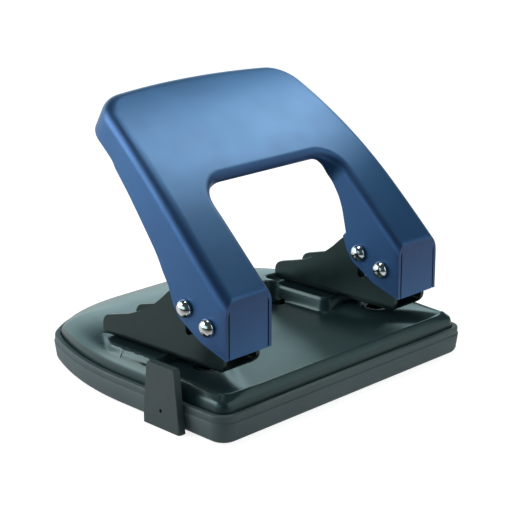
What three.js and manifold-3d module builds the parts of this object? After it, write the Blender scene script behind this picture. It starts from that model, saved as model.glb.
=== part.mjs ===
// A two-hole desk punch with a pressed steel lever. Millimetres, +Z up.
// The punch stands on the plane z = 0. X runs across it, Y from its front to its rear, and y = 0 is
// the fulcrum line of the lever. Both sides are alike but for the paper guide, on the left.

import * as THREE from 'three';
import { mergeVertices } from 'three/addons/utils/BufferGeometryUtils.js';
import Module from 'manifold-3d';

const wasm = await Module();
wasm.setup();

// What the whole punch follows
const holePitch = 80;              // between the centres of the two holes
const paperEdge = 12;              // from a hole's centre to the edge of the sheet
const fit = 0.3;                   // gap between a piece and its neighbour
const overrun = 2;                 // how far a cutting shape runs past what it cuts
const turn = Math.PI * 2;
const legCentre = holePitch / 2;

// Chip tray: a moulded tub that closes the base from below
const traySideRoom = 18.5;         // from a hole's centre out to the tray's side at its front
const trayFront = 14.8;            // from the fulcrum line forward
const trayTaper = 2.6;             // how much narrower each side is at its shoulder
const trayShoulderY = 55.9;
const trayHaunchInset = 11.7;      // from the shoulder in to the haunch
const trayHaunchReach = 24.2;      // from the shoulder back to the haunch
const trayTailInset = 17.9;
const trayTailReach = 12.7;
const trayHalfWidth = legCentre + traySideRoom;
const trayShoulderHalf = trayHalfWidth - trayTaper;
const trayHaunchHalf = trayShoulderHalf - trayHaunchInset;
const trayHaunchY = trayShoulderY + trayHaunchReach;
const trayTailHalf = trayHaunchHalf - trayTailInset;
const trayRear = trayHaunchY + trayTailReach;
const trayFrontRadius = 6.2;
// How far the rounding of a corner reaches along its shorter edge, as a share of that edge
const trayShoulderShare = 0.818;
const trayHaunchShare = 0.164;
const trayTailShare = 0.817;
const trayHeight = 9.2;
const trayDraft = 0.6;             // how much narrower each side is at the foot
const trayWall = 1.8;
const trayFloor = 1.6;
const trayFootRadius = 2.5;        // rounded lower edge
const trayStepDrop = 2;            // fine step line below the lip
const trayStepDepth = 0.3;
const trayLedge = 1.6;             // width of the ledge that the pan's skirt stands on

// Paper guide: a flat bar that slides out to the left, with an upright stop tab
const guideBarWidth = 2;
const guideBarHeight = 1.5;
const guideBarY = 15.7;            // centre of the bar
const guideBarBottom = trayHeight + fit;
const guideBarReach = 10;          // from the right hole's centre out to the inner end of the bar
const guideBarEnd = legCentre + guideBarReach;
const guideEndStop = 3;            // length of the wide end that can't pass the strap
const guideTabFront = 3.6;
const guideTabRear = 15.7;
const guideTabRise = 1.5;          // over the pan's crown
const guideTabThickness = 2.6;
const guideTabFlare = 2.3;         // how much wider the tab's foot is on each side
const guideDimpleRadius = 0.6;
const guideDimpleHeight = 6;
const strapSheet = 0.8;
const strapLength = 6;
const strapFlange = 3.2;
const strapOffset = 8.5;           // from the left hole's centre out to the strap that stops the bar
const strapX = -legCentre - strapOffset;
const guideStopWidth = strapSheet + fit;
const cradleX = 18;                // the wider strap that carries the bar when it is pushed in

// Base plate: a pressed pan with a sunk paper table, just above the guide's bar
const baseSheet = 1.2;
const tableHeight = guideBarBottom + guideBarHeight + fit + baseSheet;
const seatStep = 4.2;              // from the table up to the plateaus
const seatHeight = tableHeight + seatStep;
const baseInset = 2.5;             // from the outside of the tray to the pan
const beadWidth = 1.9;             // of the rim between the pan's outside and the sunk table
const rimInset = baseInset + beadWidth;
const crownRise = 6.4;             // from the table up to the crown
const crownHeight = tableHeight + crownRise;
const guideTabTop = crownHeight + guideTabRise;
const crownFall = 5.5;             // how much lower the crown is at its rear end
const crownLevel = 47;             // how far back from the fulcrum line the crown stays level
const skirtOverlap = 1;            // how far the pan's skirt reaches down inside the tray's lip
const skirtBottom = trayHeight - skirtOverlap;
const rimSpan = 8.5;               // from the skirt in to where the rim has nearly levelled out
// Shares of the rim's span and of the crown's rise, then shares of the rim's inner ring and of the rise
const rimProfileShares = [[0, 0.206], [0.03, 0.32], [0.09, 0.44], [0.27, 0.617], [0.6, 0.766], [1, 0.87]];
const crownProfileShares = [[0.946, 0.92], [0.757, 0.975], [0.473, 1]];
const seatInnerRoom = 12.1;        // from a hole's centre in to the inner edge of its plateau
const seatInner = legCentre - seatInnerRoom;
const trenchWidth = 2.3;           // between the plateau's outer edge and the rim, at the front
const seatOuter = trayHalfWidth - rimInset - trenchWidth;
const seatBendY = 43;              // where the plateau's outer side turns in towards its rear
const seatTailInset = 5.3;         // how far in it has turned at the plateau's rear end
const tableRear = 47;              // rear edge of the table between the plateaus
const trenchRear = 36;             // where the trench outside each plateau runs out
const trenchRadius = 0.3;
const tableCornerRadius = 4.5;
const seatCornerRadius = 3;
const marginHoleRadius = 2.4;      // small hole in the table
const marginHoleX = 24.4;
const marginHoleY = 40.8;

// Fulcrum, drive pins and their rivet heads
const fulcrumRise = 15;            // from the underside of the brackets
const driveReach = 9.5;            // from the fulcrum back to the drive pin
const driveRise = 3.8;             // from the fulcrum up to the drive pin, lever at rest
const fulcrumPinRadius = 1.5;
const drivePinRadius = 1.4;
const headRadius = 2.9;
const headHeight = 2.3;

// Cutters, dies and return springs
const cutterRadius = 3;
const cutterCap = 1.55;            // of the cutter, over the slot for the drive pin
const cutterMouth = 1.4;           // depth of the hollow-ground cutting end
const cutterFit = 0.15;            // radial play in the guide and the die
const dieWall = 1.35;
const dieHeight = 2.6;
const springWire = 0.8;
const springTurns = 7;
const washerRadius = 4.9;
const washerThickness = 0.6;

// Brackets: folded channels that stand on the base and carry the lever
const bracketSheet = 1.5;
const bracketWidth = 15.6;
const bracketFoldRadius = 3;
const bracketBottom = seatHeight + fit;
const bracketFront = 4.4;          // from the fulcrum forward
const bracketRear = 49.7;          // from the fulcrum back
const bracketNoseRadius = 4;
const bracketHeelHeight = 6.8;     // of the rear end, over the underside
const bracketHeelRadius = 3.5;
const bracketRim = 2.9;            // of the walls, over the slot for the drive pin
const bracketEarRadius = 5.4;      // round the fulcrum
const rivetRadius = 2;
const rivetHeadRadius = 3.4;
const rivetHeadHeight = 1.4;
const rivetFrontInset = 7.5;       // from the paper stop to the front rivet
const rivetRearInset = 7.9;        // from the rear end of the bracket to the rear rivet

// Heights that the fulcrum and the drive pin settle
const fulcrumHeight = bracketBottom + fulcrumRise;
const driveHeight = fulcrumHeight + driveRise;
const bracketTop = driveHeight + drivePinRadius + fit + bracketRim - bracketBottom;
const cutterBottom = bracketBottom + fit;
const cutterTop = driveHeight + drivePinRadius + cutterFit + cutterCap;

// Lever: one pressed sheet, folded down at its sides, its rear and round its window
const leverSheet = 1.2;
const legPlay = 0.8;               // between a leg's flange and the bracket inside it
const legHalfWidth = bracketWidth / 2 + legPlay + leverSheet;
const leverHalfWidth = legCentre + legHalfWidth;
const windowHalfWidth = legCentre - legHalfWidth;
const leverSlope = THREE.MathUtils.degToRad(44.2);
const plateStraight = 22.5;        // flat run of the top before it bows
const plateBowRadius = 224;
const sideBowRadius = 430;
const sideRun = 71.5;              // along the top, from its front to the rear corners
const rearCornerRadius = 12.5;
const rearBowRadius = 300;
const foldRadius = 4;
const windowRun = 39;              // along the top, from its front to the window's rear edge
const windowCornerRadius = 9;
const windowFoldRadius = 3;
const flangeDepth = 21;            // deepest part of the side flange, square to the top
const legFront = 7.4;              // fulcrum to the front face of a leg
const legRear = 17.2;              // fulcrum to the rear edge of a leg
const legDrop = 8.9;               // fulcrum to the lowest point of a leg
const flapGap = 0.5;               // slit on each side of the folded front flap
const plateForward = 6.5;          // from the fulcrum to the start of the top's outline
const plateRise = 10.5;

// Fineness of round forms
const pinSides = 20;
const holeSides = 24;
const arcSteps = 5;
const foldSteps = 4;
const sideSteps = 3;               // along the lever's side, behind its window
const domeSteps = 4;
const springSides = 5;
const springSteps = 8;             // per turn

const material = (color, roughness, metalness) =>
  new THREE.MeshStandardMaterial({ color, roughness, metalness });
const lacqueredSteel = () => material(0x34649c, 0.4, 0.2);
const darkSteel = () => material(0x1d2424, 0.5, 0.3);
const baseSteel = () => material(0x35484a, 0.45, 0.25);
const chromedSteel = () => material(0xd8d8d8, 0.15, 1);
const toolSteel = () => material(0x8d9093, 0.3, 1);
const mouldedPlastic = () => material(0x39464a, 0.65, 0);

const part = new THREE.Group();

// Booleans and small geometry helpers

function solid(geometry) {
  geometry.deleteAttribute('normal');
  geometry.deleteAttribute('uv');
  const merged = mergeVertices(geometry);
  return new wasm.Manifold(new wasm.Mesh({
    numProp: 3,
    vertProperties: new Float32Array(merged.attributes.position.array),
    triVerts: new Uint32Array(merged.index.array),
  }));
}

function addNode(name, body, finish, x = 0) {
  const { vertProperties, triVerts } = body.getMesh();
  const geometry = new THREE.BufferGeometry();
  geometry.setAttribute('position', new THREE.BufferAttribute(vertProperties, 3));
  geometry.setIndex(new THREE.BufferAttribute(triVerts, 1));
  geometry.computeVertexNormals();
  const mesh = new THREE.Mesh(geometry, finish);
  mesh.name = name;
  mesh.position.x = x;
  part.add(mesh);
  return mesh;
}

// An upright prism over a plan outline of [x, y] points
function upright(points, bottom, top) {
  const shape = new THREE.Shape(points.map(([x, y]) => new THREE.Vector2(x, y)));
  const geometry = new THREE.ExtrudeGeometry(shape, { depth: top - bottom, bevelEnabled: false });
  geometry.translate(0, 0, bottom);
  return solid(geometry);
}

// A prism along X over a side outline of [y, z] points
function crosswise(points, left, right) {
  const shape = new THREE.Shape(points.map(([y, z]) => new THREE.Vector2(y, z)));
  const geometry = new THREE.ExtrudeGeometry(shape, { depth: right - left, bevelEnabled: false });
  const turned = new THREE.Matrix4().makeBasis(
    new THREE.Vector3(0, 1, 0), new THREE.Vector3(0, 0, 1), new THREE.Vector3(1, 0, 0));
  geometry.applyMatrix4(turned.setPosition(left, 0, 0));
  return solid(geometry);
}

// A prism along Y over a front outline of [x, z] points
function lengthwise(points, front, rear) {
  const shape = new THREE.Shape(points.map(([x, z]) => new THREE.Vector2(x, z)));
  const geometry = new THREE.ExtrudeGeometry(shape, { depth: rear - front, bevelEnabled: false });
  const turned = new THREE.Matrix4().makeBasis(
    new THREE.Vector3(1, 0, 0), new THREE.Vector3(0, 0, 1), new THREE.Vector3(0, -1, 0));
  geometry.applyMatrix4(turned.setPosition(0, rear, 0));
  return solid(geometry);
}

function block([x0, y0, z0], [x1, y1, z1]) {
  const geometry = new THREE.BoxGeometry(x1 - x0, y1 - y0, z1 - z0);
  geometry.translate((x0 + x1) / 2, (y0 + y1) / 2, (z0 + z1) / 2);
  return solid(geometry);
}

function uprightRod(radius, x, y, bottom, top, sides = holeSides) {
  const geometry = new THREE.CylinderGeometry(radius, radius, top - bottom, sides);
  geometry.rotateX(turn / 4);
  geometry.translate(x, y, (bottom + top) / 2);
  return solid(geometry);
}

function crossRod(radius, y, z, left, right, sides = holeSides) {
  const geometry = new THREE.CylinderGeometry(radius, radius, right - left, sides);
  geometry.rotateZ(turn / 4);
  geometry.translate((left + right) / 2, y, z);
  return solid(geometry);
}

// A body turned about the Z axis from [radius, height] points
function turned(profile, sides) {
  const points = profile.map(([radius, height]) => new THREE.Vector2(radius, height));
  const geometry = new THREE.LatheGeometry(points, sides);
  geometry.rotateX(turn / 4);
  return geometry;
}

// The points of a quarter dome of a rivet head, from its rim to its top
function domeProfile(radius, height, base) {
  const points = [];
  for (let step = 0; step <= domeSteps; step += 1) {
    const angle = (step / domeSteps) * turn / 4;
    points.push([radius * Math.cos(angle), base + height * Math.sin(angle)]);
  }
  points[domeSteps][0] = 0;
  return points;
}

// Corners moved in along the bisectors, so that each edge of the outline moves in by the inset
function insetCorners(corners, inset) {
  return corners.map(([x, y], i) => {
    const [px, py] = corners[(i + corners.length - 1) % corners.length];
    const [nx, ny] = corners[(i + 1) % corners.length];
    const before = new THREE.Vector2(x - px, y - py).normalize();
    const after = new THREE.Vector2(nx - x, ny - y).normalize();
    const inBefore = new THREE.Vector2(-before.y, before.x);
    const inAfter = new THREE.Vector2(-after.y, after.x);
    const reach = inset / (1 + inBefore.dot(inAfter));
    return [x + (inBefore.x + inAfter.x) * reach, y + (inBefore.y + inAfter.y) * reach];
  });
}

// Corners replaced by arcs of the given radii
function roundCorners(corners, radii, steps = arcSteps) {
  const points = [];
  corners.forEach(([x, y], i) => {
    const corner = new THREE.Vector2(x, y);
    const [px, py] = corners[(i + corners.length - 1) % corners.length];
    const [nx, ny] = corners[(i + 1) % corners.length];
    const back = new THREE.Vector2(px, py).sub(corner).normalize();
    const ahead = new THREE.Vector2(nx, ny).sub(corner).normalize();
    const half = Math.acos(THREE.MathUtils.clamp(back.dot(ahead), -1, 1)) / 2;
    const middle = back.clone().add(ahead).normalize();
    const radius = radii[i];
    if (radius === 0) {
      points.push([x, y]);
      return;
    }
    const centre = corner.clone().addScaledVector(middle, radius / Math.sin(half));
    const start = corner.clone().addScaledVector(back, radius / Math.tan(half)).sub(centre);
    const end = corner.clone().addScaledVector(ahead, radius / Math.tan(half)).sub(centre);
    const sweep = Math.atan2(start.cross(end), start.dot(end));
    for (let step = 0; step <= steps; step += 1) {
      const point = start.clone().rotateAround(new THREE.Vector2(), sweep * step / steps);
      points.push([centre.x + point.x, centre.y + point.y]);
    }
  });
  return points;
}

// A solid through rings of equally many points, with flat ends
function loft(rings) {
  const positions = rings.flatMap(({ points, height, fall }) =>
    points.flatMap(([x, y]) => [x, y, height - (fall ? fall(y) : 0)]));
  const indices = [];
  for (let ring = 0; ring + 1 < rings.length; ring += 1) {
    const size = rings[ring].points.length;
    for (let i = 0; i < size; i += 1) {
      const a = ring * size + i;
      const b = ring * size + (i + 1) % size;
      indices.push(a, b, b + size, a, b + size, a + size);
    }
  }
  const size = rings[0].points.length;
  const last = (rings.length - 1) * size;
  const capOf = ({ points }) =>
    THREE.ShapeUtils.triangulateShape(points.map(([x, y]) => new THREE.Vector2(x, y)), []);
  capOf(rings[0]).forEach(([a, b, c]) => indices.push(c, b, a));
  capOf(rings[rings.length - 1]).forEach(([a, b, c]) => indices.push(last + a, last + b, last + c));
  const geometry = new THREE.BufferGeometry();
  geometry.setAttribute('position', new THREE.Float32BufferAttribute(positions, 3));
  geometry.setIndex(indices);
  return solid(geometry);
}

// The lever's top is flat at its front and bows downwards towards its rear. A place on the lever is
// given by x, by the distance along the top and by the depth square to the top.

function leverPoint(x, along, depth) {
  const straight = Math.min(along, plateStraight);
  const angle = leverSlope - (along - straight) / plateBowRadius;
  const y = -plateForward + straight * Math.cos(leverSlope)
    + plateBowRadius * (Math.sin(leverSlope) - Math.sin(angle));
  const z = fulcrumHeight + plateRise + straight * Math.sin(leverSlope)
    + plateBowRadius * (Math.cos(angle) - Math.cos(leverSlope));
  return new THREE.Vector3(x, y + depth * Math.sin(angle), z - depth * Math.cos(angle));
}

const leverSide = (along, depth) => {
  const { y, z } = leverPoint(0, along, depth);
  return [y, z];
};

// Right half of the window, from the front to the middle of its rear edge, with directions that
// point out of the sheet
function windowHalf(front) {
  const stations = [];
  const sideEnd = windowRun - windowCornerRadius;
  [front, 0, plateStraight / 2, plateStraight].forEach((along) =>
    stations.push({ x: windowHalfWidth, along, out: [-1, 0] }));
  for (let step = 0; step <= arcSteps; step += 1) {
    const angle = (step / arcSteps) * turn / 4;
    const out = [-Math.cos(angle), -Math.sin(angle)];
    stations.push({
      x: windowHalfWidth - windowCornerRadius - windowCornerRadius * out[0],
      along: sideEnd - windowCornerRadius * out[1],
      out,
    });
  }
  return stations;
}

// Right half of the lever's outline, from the front to the middle of its rear edge
function leverHalf(front) {
  const stations = [];
  const side = (along) => {
    const angle = Math.max(along, 0) / sideBowRadius;
    const x = leverHalfWidth - sideBowRadius * (1 - Math.cos(angle));
    stations.push({ x, along, out: [Math.cos(angle), Math.sin(angle)] });
  };
  windowHalf(front).forEach(({ along }) => side(along));
  for (let step = 1; step <= sideSteps; step += 1) {
    side(windowRun + (sideRun - windowRun) * step / sideSteps);
  }
  const corner = stations[stations.length - 1];
  const centreX = corner.x - rearCornerRadius * corner.out[0];
  const centreAlong = corner.along - rearCornerRadius * corner.out[1];
  const first = sideRun / sideBowRadius;
  const last = turn / 4 - Math.asin(centreX / (rearBowRadius - rearCornerRadius));
  for (let step = 1; step <= arcSteps; step += 1) {
    const angle = first + (last - first) * step / arcSteps;
    const out = [Math.cos(angle), Math.sin(angle)];
    stations.push({
      x: centreX + rearCornerRadius * out[0],
      along: centreAlong + rearCornerRadius * out[1],
      out,
    });
  }
  const bowCentre = centreAlong - (rearBowRadius - rearCornerRadius) * Math.sin(last);
  for (let step = 1; step <= foldSteps; step += 1) {
    const angle = last + (turn / 4 - last) * step / foldSteps;
    const x = step === foldSteps ? 0 : rearBowRadius * Math.cos(angle);
    const out = [x / rearBowRadius, Math.sin(angle)];
    stations.push({ x, along: bowCentre + rearBowRadius * Math.sin(angle), out });
  }
  return stations;
}

// The closed form of the lever's outside, or of its inside when the skin is a sheet thickness:
// a flat-topped body over the outline less the window, with both edges folded down round arcs
function leverForm(skin, front, bottom) {
  const right = leverHalf(front);
  const rightWindow = windowHalf(front);
  const mirrored = (list) => list.map(({ x, along, out }) => ({ x: -x, along, out: [-out[0], out[1]] }));
  const outer = right.concat(mirrored(right).reverse().slice(1));
  const inner = rightWindow.concat(mirrored(rightWindow).reverse());
  const loop = outer.map((place) => ({ ...place, radius: foldRadius - skin }))
    .concat(inner.reverse().map((place) => ({ ...place, radius: windowFoldRadius - skin })));
  const size = loop.length;
  const positions = [];
  const addLevel = (angle, depth) => loop.forEach(({ x, along, out, radius }) => {
    const inset = skin + radius * (1 - Math.sin(angle));
    const drop = depth === null ? skin + radius * (1 - Math.cos(angle)) : depth;
    const point = leverPoint(x - out[0] * inset, along - out[1] * inset, drop);
    positions.push(point.x, point.y, point.z);
  });
  for (let step = 0; step <= foldSteps; step += 1) {
    addLevel((step / foldSteps) * turn / 4, null);
  }
  addLevel(turn / 4, bottom);
  const levels = foldSteps + 2;
  const indices = [];
  for (let level = 0; level + 1 < levels; level += 1) {
    for (let i = 0; i < size; i += 1) {
      const a = level * size + i;
      const b = level * size + (i + 1) % size;
      indices.push(a, a + size, b, b, a + size, b + size);
    }
  }
  // Each end face is cut into strips across the lever, so that it follows the bow
  const rows = rightWindow.length;
  const middle = right.length - 1;
  const outerLeft = (i) => outer.length - 1 - i;
  const windowLeft = (i) => outer.length + i;
  const windowRight = (i) => size - 1 - i;
  const faces = [];
  for (let i = 0; i + 1 < rows; i += 1) {
    faces.push([i, i + 1, windowRight(i + 1)], [i, windowRight(i + 1), windowRight(i)]);
    faces.push([outerLeft(i + 1), outerLeft(i), windowLeft(i)]);
    faces.push([outerLeft(i + 1), windowLeft(i), windowLeft(i + 1)]);
  }
  const row = rows - 1;
  faces.push([row, row + 1, windowRight(row)], [windowRight(row), row + 1, outerLeft(row + 1)]);
  faces.push([windowRight(row), outerLeft(row + 1), windowLeft(row)]);
  faces.push([windowLeft(row), outerLeft(row + 1), outerLeft(row)]);
  for (let i = rows; i < middle; i += 1) {
    faces.push([i, i + 1, outerLeft(i)]);
    if (i + 1 < middle) {
      faces.push([i + 1, outerLeft(i + 1), outerLeft(i)]);
    }
  }
  const last = (levels - 1) * size;
  faces.forEach(([a, b, c]) => indices.push(a, b, c, last + c, last + b, last + a));
  const geometry = new THREE.BufferGeometry();
  geometry.setAttribute('position', new THREE.Float32BufferAttribute(positions, 3));
  geometry.setIndex(indices);
  return solid(geometry);
}

// Outline of the lever's sides. Along and depth shares are of the window's run and the flange's depth,
// and the leg's shares are of its reach behind the fulcrum and its drop below it.

const armEdgeShares = [[2.31, 0.5], [1.67, 0.505], [1.5, 0.545], [1.18, 0.605], [0.73, 0.705], [0.52, 0.79]];
const legEdgeShares = [[1, 1.04], [0.87, 0.42], [0.72, 0.03], [0.19, -0.6]];
const windowEdgeShares = [
  [0.39, 1.5], [0.39, 0.76], [0.48, 0.65], [0.57, 0.545], [0.67, 0.464], [0.78, 0.41],
  [0.88, 0.35], [0.95, 0.24], [1, 0.145], [1.12, 0.145], [1.12, 1.5],
];

function makeLever() {
  const front = -(plateForward + foldRadius) - flangeDepth;
  const deep = flangeDepth + foldRadius;
  const outside = leverForm(0, front, deep);
  const inside = leverForm(leverSheet, front - overrun, deep + overrun);
  const top = leverSide(windowRun + sideRun, 0);
  const arm = armEdgeShares.map(([along, depth]) => leverSide(along * windowRun, depth * flangeDepth));
  const leg = legEdgeShares.map(([back, up]) => [back * legRear, fulcrumHeight + up * legDrop]);
  const kept = [
    [-legFront, top[1]], [-legFront, fulcrumHeight - legDrop], ...leg.reverse(), ...arm.reverse(), top,
  ];
  const windowEdge = windowEdgeShares.map(([along, depth]) =>
    leverSide(along * windowRun, depth * flangeDepth));
  let lever = outside.subtract(inside)
    .intersect(crosswise(kept, -leverHalfWidth - overrun, leverHalfWidth + overrun))
    .subtract(crosswise(windowEdge, -legCentre, legCentre));
  const frontAlong = (plateForward - legFront) / Math.cos(leverSlope);
  const flapTop = leverSide(frontAlong, leverSheet / 2)[1];
  const flapInset = leverSheet + flapGap;
  [1, -1].forEach((side) => {
    const edges = [side * (windowHalfWidth + flapInset), side * (leverHalfWidth - flapInset)];
    lever = lever.add(block(
      [Math.min(...edges), -legFront, fulcrumHeight - legDrop],
      [Math.max(...edges), leverSheet - legFront, flapTop]));
  });
  const through = leverHalfWidth + overrun;
  return lever
    .subtract(crossRod(fulcrumPinRadius + fit, 0, fulcrumHeight, -through, through))
    .subtract(crossRod(drivePinRadius + fit, driveReach, fulcrumHeight + driveRise, -through, through));
}

// A pin across one leg: a shaft with a domed rivet head outside each flange
function makePin(radius) {
  const length = leverHalfWidth - windowHalfWidth + 2 * fit;
  const lower = domeProfile(headRadius, headHeight, 0).reverse()
    .map(([r, height]) => [r, -height]);
  const upper = domeProfile(headRadius, headHeight, length);
  const profile = [...lower, [radius, 0], [radius, length], ...upper];
  const geometry = turned(profile, pinSides);
  geometry.rotateY(turn / 4);
  geometry.translate(windowHalfWidth - fit, 0, 0);
  return solid(geometry);
}

// The drive pin swings about the fulcrum, so its mean distance back from it is where the cutter runs
const driveRadius = Math.hypot(driveReach, driveRise);
const cutterY = (driveReach + driveRadius) / 2;
const slotHalfWidth = (driveRadius - driveReach) / 2 + drivePinRadius + cutterFit;
const stroke = 2 * driveRise;
const slotBottom = driveHeight - stroke - drivePinRadius - fit;
const stopY = cutterY + paperEdge;

function makeCutter() {
  const bottom = cutterBottom;
  const rod = uprightRod(cutterRadius, 0, cutterY, bottom, cutterTop);
  const slot = crosswise([
    [cutterY - slotHalfWidth, driveHeight - drivePinRadius - cutterFit],
    [cutterY + slotHalfWidth, driveHeight - drivePinRadius - cutterFit],
    [cutterY + slotHalfWidth, driveHeight + drivePinRadius + cutterFit],
    [cutterY - slotHalfWidth, driveHeight + drivePinRadius + cutterFit],
  ], -cutterRadius - overrun, cutterRadius + overrun);
  const mouth = crosswise([
    [cutterY - cutterRadius, bottom - overrun], [cutterY + cutterRadius, bottom - overrun],
    [cutterY + cutterRadius, bottom], [cutterY, bottom + cutterMouth], [cutterY - cutterRadius, bottom],
  ], -cutterRadius - overrun, cutterRadius + overrun);
  return rod.subtract(slot).subtract(mouth);
}

// Folded channel: rounded lower corners, open at the top
function makeBracket() {
  const half = bracketWidth / 2;
  const top = bracketBottom + bracketTop;
  const innerHalf = half - bracketSheet;
  const outer = roundCorners(
    [[-half, bracketBottom], [half, bracketBottom], [half, top + overrun], [-half, top + overrun]],
    [bracketFoldRadius, bracketFoldRadius, 0, 0], foldSteps);
  const innerBottom = bracketBottom + bracketSheet;
  const innerRadius = bracketFoldRadius - bracketSheet;
  const inner = roundCorners(
    [[-innerHalf, innerBottom], [innerHalf, innerBottom],
      [innerHalf, top + 2 * overrun], [-innerHalf, top + 2 * overrun]],
    [innerRadius, innerRadius, 0, 0], foldSteps);
  const channel = lengthwise(outer, -bracketFront - overrun, bracketRear + overrun)
    .subtract(lengthwise(inner, -bracketFront - 2 * overrun, bracketRear + 2 * overrun));
  // Shares of the rear reach and of the height over the underside, from the heel to the top
  const backShares = [[0.753, 0.43], [0.64, 0.53], [0.543, 0.645], [0.458, 0.78], [0.381, 0.925], [0.329, 0.985]];
  const heel = bracketBottom + bracketHeelHeight;
  const side = roundCorners([
    [-bracketFront, bracketBottom], [bracketRear, bracketBottom],
    [bracketRear, heel],
    ...backShares.map(([back, up]) => [back * bracketRear, bracketBottom + up * bracketTop]),
    [cutterY + slotHalfWidth, top], [cutterY - slotHalfWidth, top],
    [-bracketFront, fulcrumHeight + bracketEarRadius],
  ], [bracketNoseRadius, bracketSheet, bracketHeelRadius, 0, 0, 0, 0, 0, 0, 0, 0, bracketFront]);
  const slotRound = slotHalfWidth - fit;
  const slot = roundCorners([
    [cutterY - slotHalfWidth, slotBottom], [cutterY + slotHalfWidth, slotBottom],
    [cutterY + slotHalfWidth, driveHeight + drivePinRadius + fit],
    [cutterY - slotHalfWidth, driveHeight + drivePinRadius + fit],
  ], [slotRound, slotRound, 0, 0], foldSteps);
  const reach = half + overrun;
  const webTop = innerBottom + overrun;
  let bracket = channel
    .intersect(crosswise(side, -reach, reach))
    .subtract(crosswise(slot, -reach, reach))
    .subtract(crossRod(fulcrumPinRadius + cutterFit, 0, fulcrumHeight, -reach, reach))
    .subtract(uprightRod(cutterRadius + cutterFit, 0, cutterY, bracketBottom - overrun, webTop));
  rivetPlaces.forEach((y) => {
    bracket = bracket.subtract(uprightRod(rivetRadius + fit, 0, y, bracketBottom - overrun, webTop));
  });
  return bracket;
}

const rivetPlaces = [stopY + rivetFrontInset, bracketRear - rivetRearInset];

// A rivet holds the bracket's web to its plateau, with a domed head above and a flat one below
function makeRivet(y) {
  const head = bracketBottom + bracketSheet + fit;
  const foot = seatHeight - baseSheet - fit;
  const profile = [
    [0, foot - rivetHeadHeight], [rivetHeadRadius, foot - rivetHeadHeight], [rivetHeadRadius, foot],
    [rivetRadius, foot], [rivetRadius, head], ...domeProfile(rivetHeadRadius, rivetHeadHeight, head),
  ];
  const geometry = turned(profile, pinSides);
  geometry.translate(0, y, 0);
  return solid(geometry);
}

const springBottom = bracketBottom + bracketSheet + fit;
const washerTop = driveHeight - drivePinRadius - fit;
const springTop = washerTop - washerThickness - fit;

function makeWasher() {
  const inner = cutterRadius + cutterFit;
  const profile = [
    [inner, washerTop - washerThickness], [washerRadius, washerTop - washerThickness],
    [washerRadius, washerTop], [inner, washerTop], [inner, washerTop - washerThickness],
  ];
  const geometry = turned(profile, holeSides);
  geometry.translate(0, cutterY, 0);
  return solid(geometry);
}

function makeDie() {
  const inner = cutterRadius + cutterFit;
  const top = tableHeight;
  const profile = [
    [inner, top - dieHeight], [inner + dieWall, top - dieHeight],
    [inner + dieWall, top], [inner, top], [inner, top - dieHeight],
  ];
  const geometry = turned(profile, holeSides);
  geometry.translate(0, cutterY, 0);
  return solid(geometry);
}

// Return spring: one round wire wound about the cutter, with a straight end of one wire diameter
function makeSpring() {
  const coilRadius = cutterRadius + fit + springWire / 2;
  const low = springBottom + springWire / 2;
  const rise = springTop - springBottom - springWire;
  const steps = springTurns * springSteps;
  const middle = [];
  for (let step = 0; step <= steps; step += 1) {
    const angle = (step / springSteps) * turn;
    middle.push(new THREE.Vector3(coilRadius * Math.cos(angle), coilRadius * Math.sin(angle),
      low + rise * step / steps));
  }
  const startAhead = middle[0].clone().sub(middle[1]).setLength(springWire);
  const endAhead = middle[steps].clone().sub(middle[steps - 1]).setLength(springWire);
  startAhead.z = 0;
  endAhead.z = 0;
  middle.unshift(middle[0].clone().add(startAhead));
  middle.push(middle[middle.length - 1].clone().add(endAhead));
  const count = middle.length;
  const positions = [];
  middle.forEach((point, i) => {
    const ahead = middle[Math.min(i + 1, count - 1)].clone().sub(middle[Math.max(i - 1, 0)]).normalize();
    const across = new THREE.Vector3(0, 0, 1).cross(ahead).normalize();
    const over = ahead.clone().cross(across);
    for (let side = 0; side < springSides; side += 1) {
      const angle = (side / springSides) * turn;
      const place = point.clone().addScaledVector(across, springWire / 2 * Math.cos(angle))
        .addScaledVector(over, springWire / 2 * Math.sin(angle));
      positions.push(place.x, place.y + cutterY, place.z);
    }
  });
  const indices = [];
  for (let i = 0; i + 1 < count; i += 1) {
    for (let side = 0; side < springSides; side += 1) {
      const a = i * springSides + side;
      const b = i * springSides + (side + 1) % springSides;
      indices.push(a, b, b + springSides, a, b + springSides, a + springSides);
    }
  }
  const last = (count - 1) * springSides;
  for (let side = 1; side + 1 < springSides; side += 1) {
    indices.push(0, side + 1, side, last, last + side, last + side + 1);
  }
  let gap = Infinity;
  for (let i = 0; i < count; i += 1) {
    for (let j = i + springSteps / 2; j < count; j += 1) {
      gap = Math.min(gap, middle[i].distanceTo(middle[j]) - springWire);
    }
  }
  console.log(`least gap between a spring's turns: ${gap.toFixed(2)} mm`);
  const geometry = new THREE.BufferGeometry();
  geometry.setAttribute('position', new THREE.Float32BufferAttribute(positions, 3));
  geometry.setIndex(indices);
  return solid(geometry);
}

// Plan outline of the tray, the pan and all that follows them, moved in by the inset
const trayCorners = [
  [trayHalfWidth, -trayFront], [trayShoulderHalf, trayShoulderY], [trayHaunchHalf, trayHaunchY],
  [trayTailHalf, trayRear], [-trayTailHalf, trayRear], [-trayHaunchHalf, trayHaunchY],
  [-trayShoulderHalf, trayShoulderY], [-trayHalfWidth, -trayFront],
];

// Radius of the arc at a corner of the tray that reaches along the shorter edge by the share of it
function trayRadius(i, share) {
  const corner = new THREE.Vector2(...trayCorners[i]);
  const back = new THREE.Vector2(...trayCorners[i - 1]).sub(corner);
  const ahead = new THREE.Vector2(...trayCorners[i + 1]).sub(corner);
  const reach = share * Math.min(back.length(), ahead.length());
  return reach * Math.tan(Math.acos(back.normalize().dot(ahead.normalize())) / 2);
}

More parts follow.
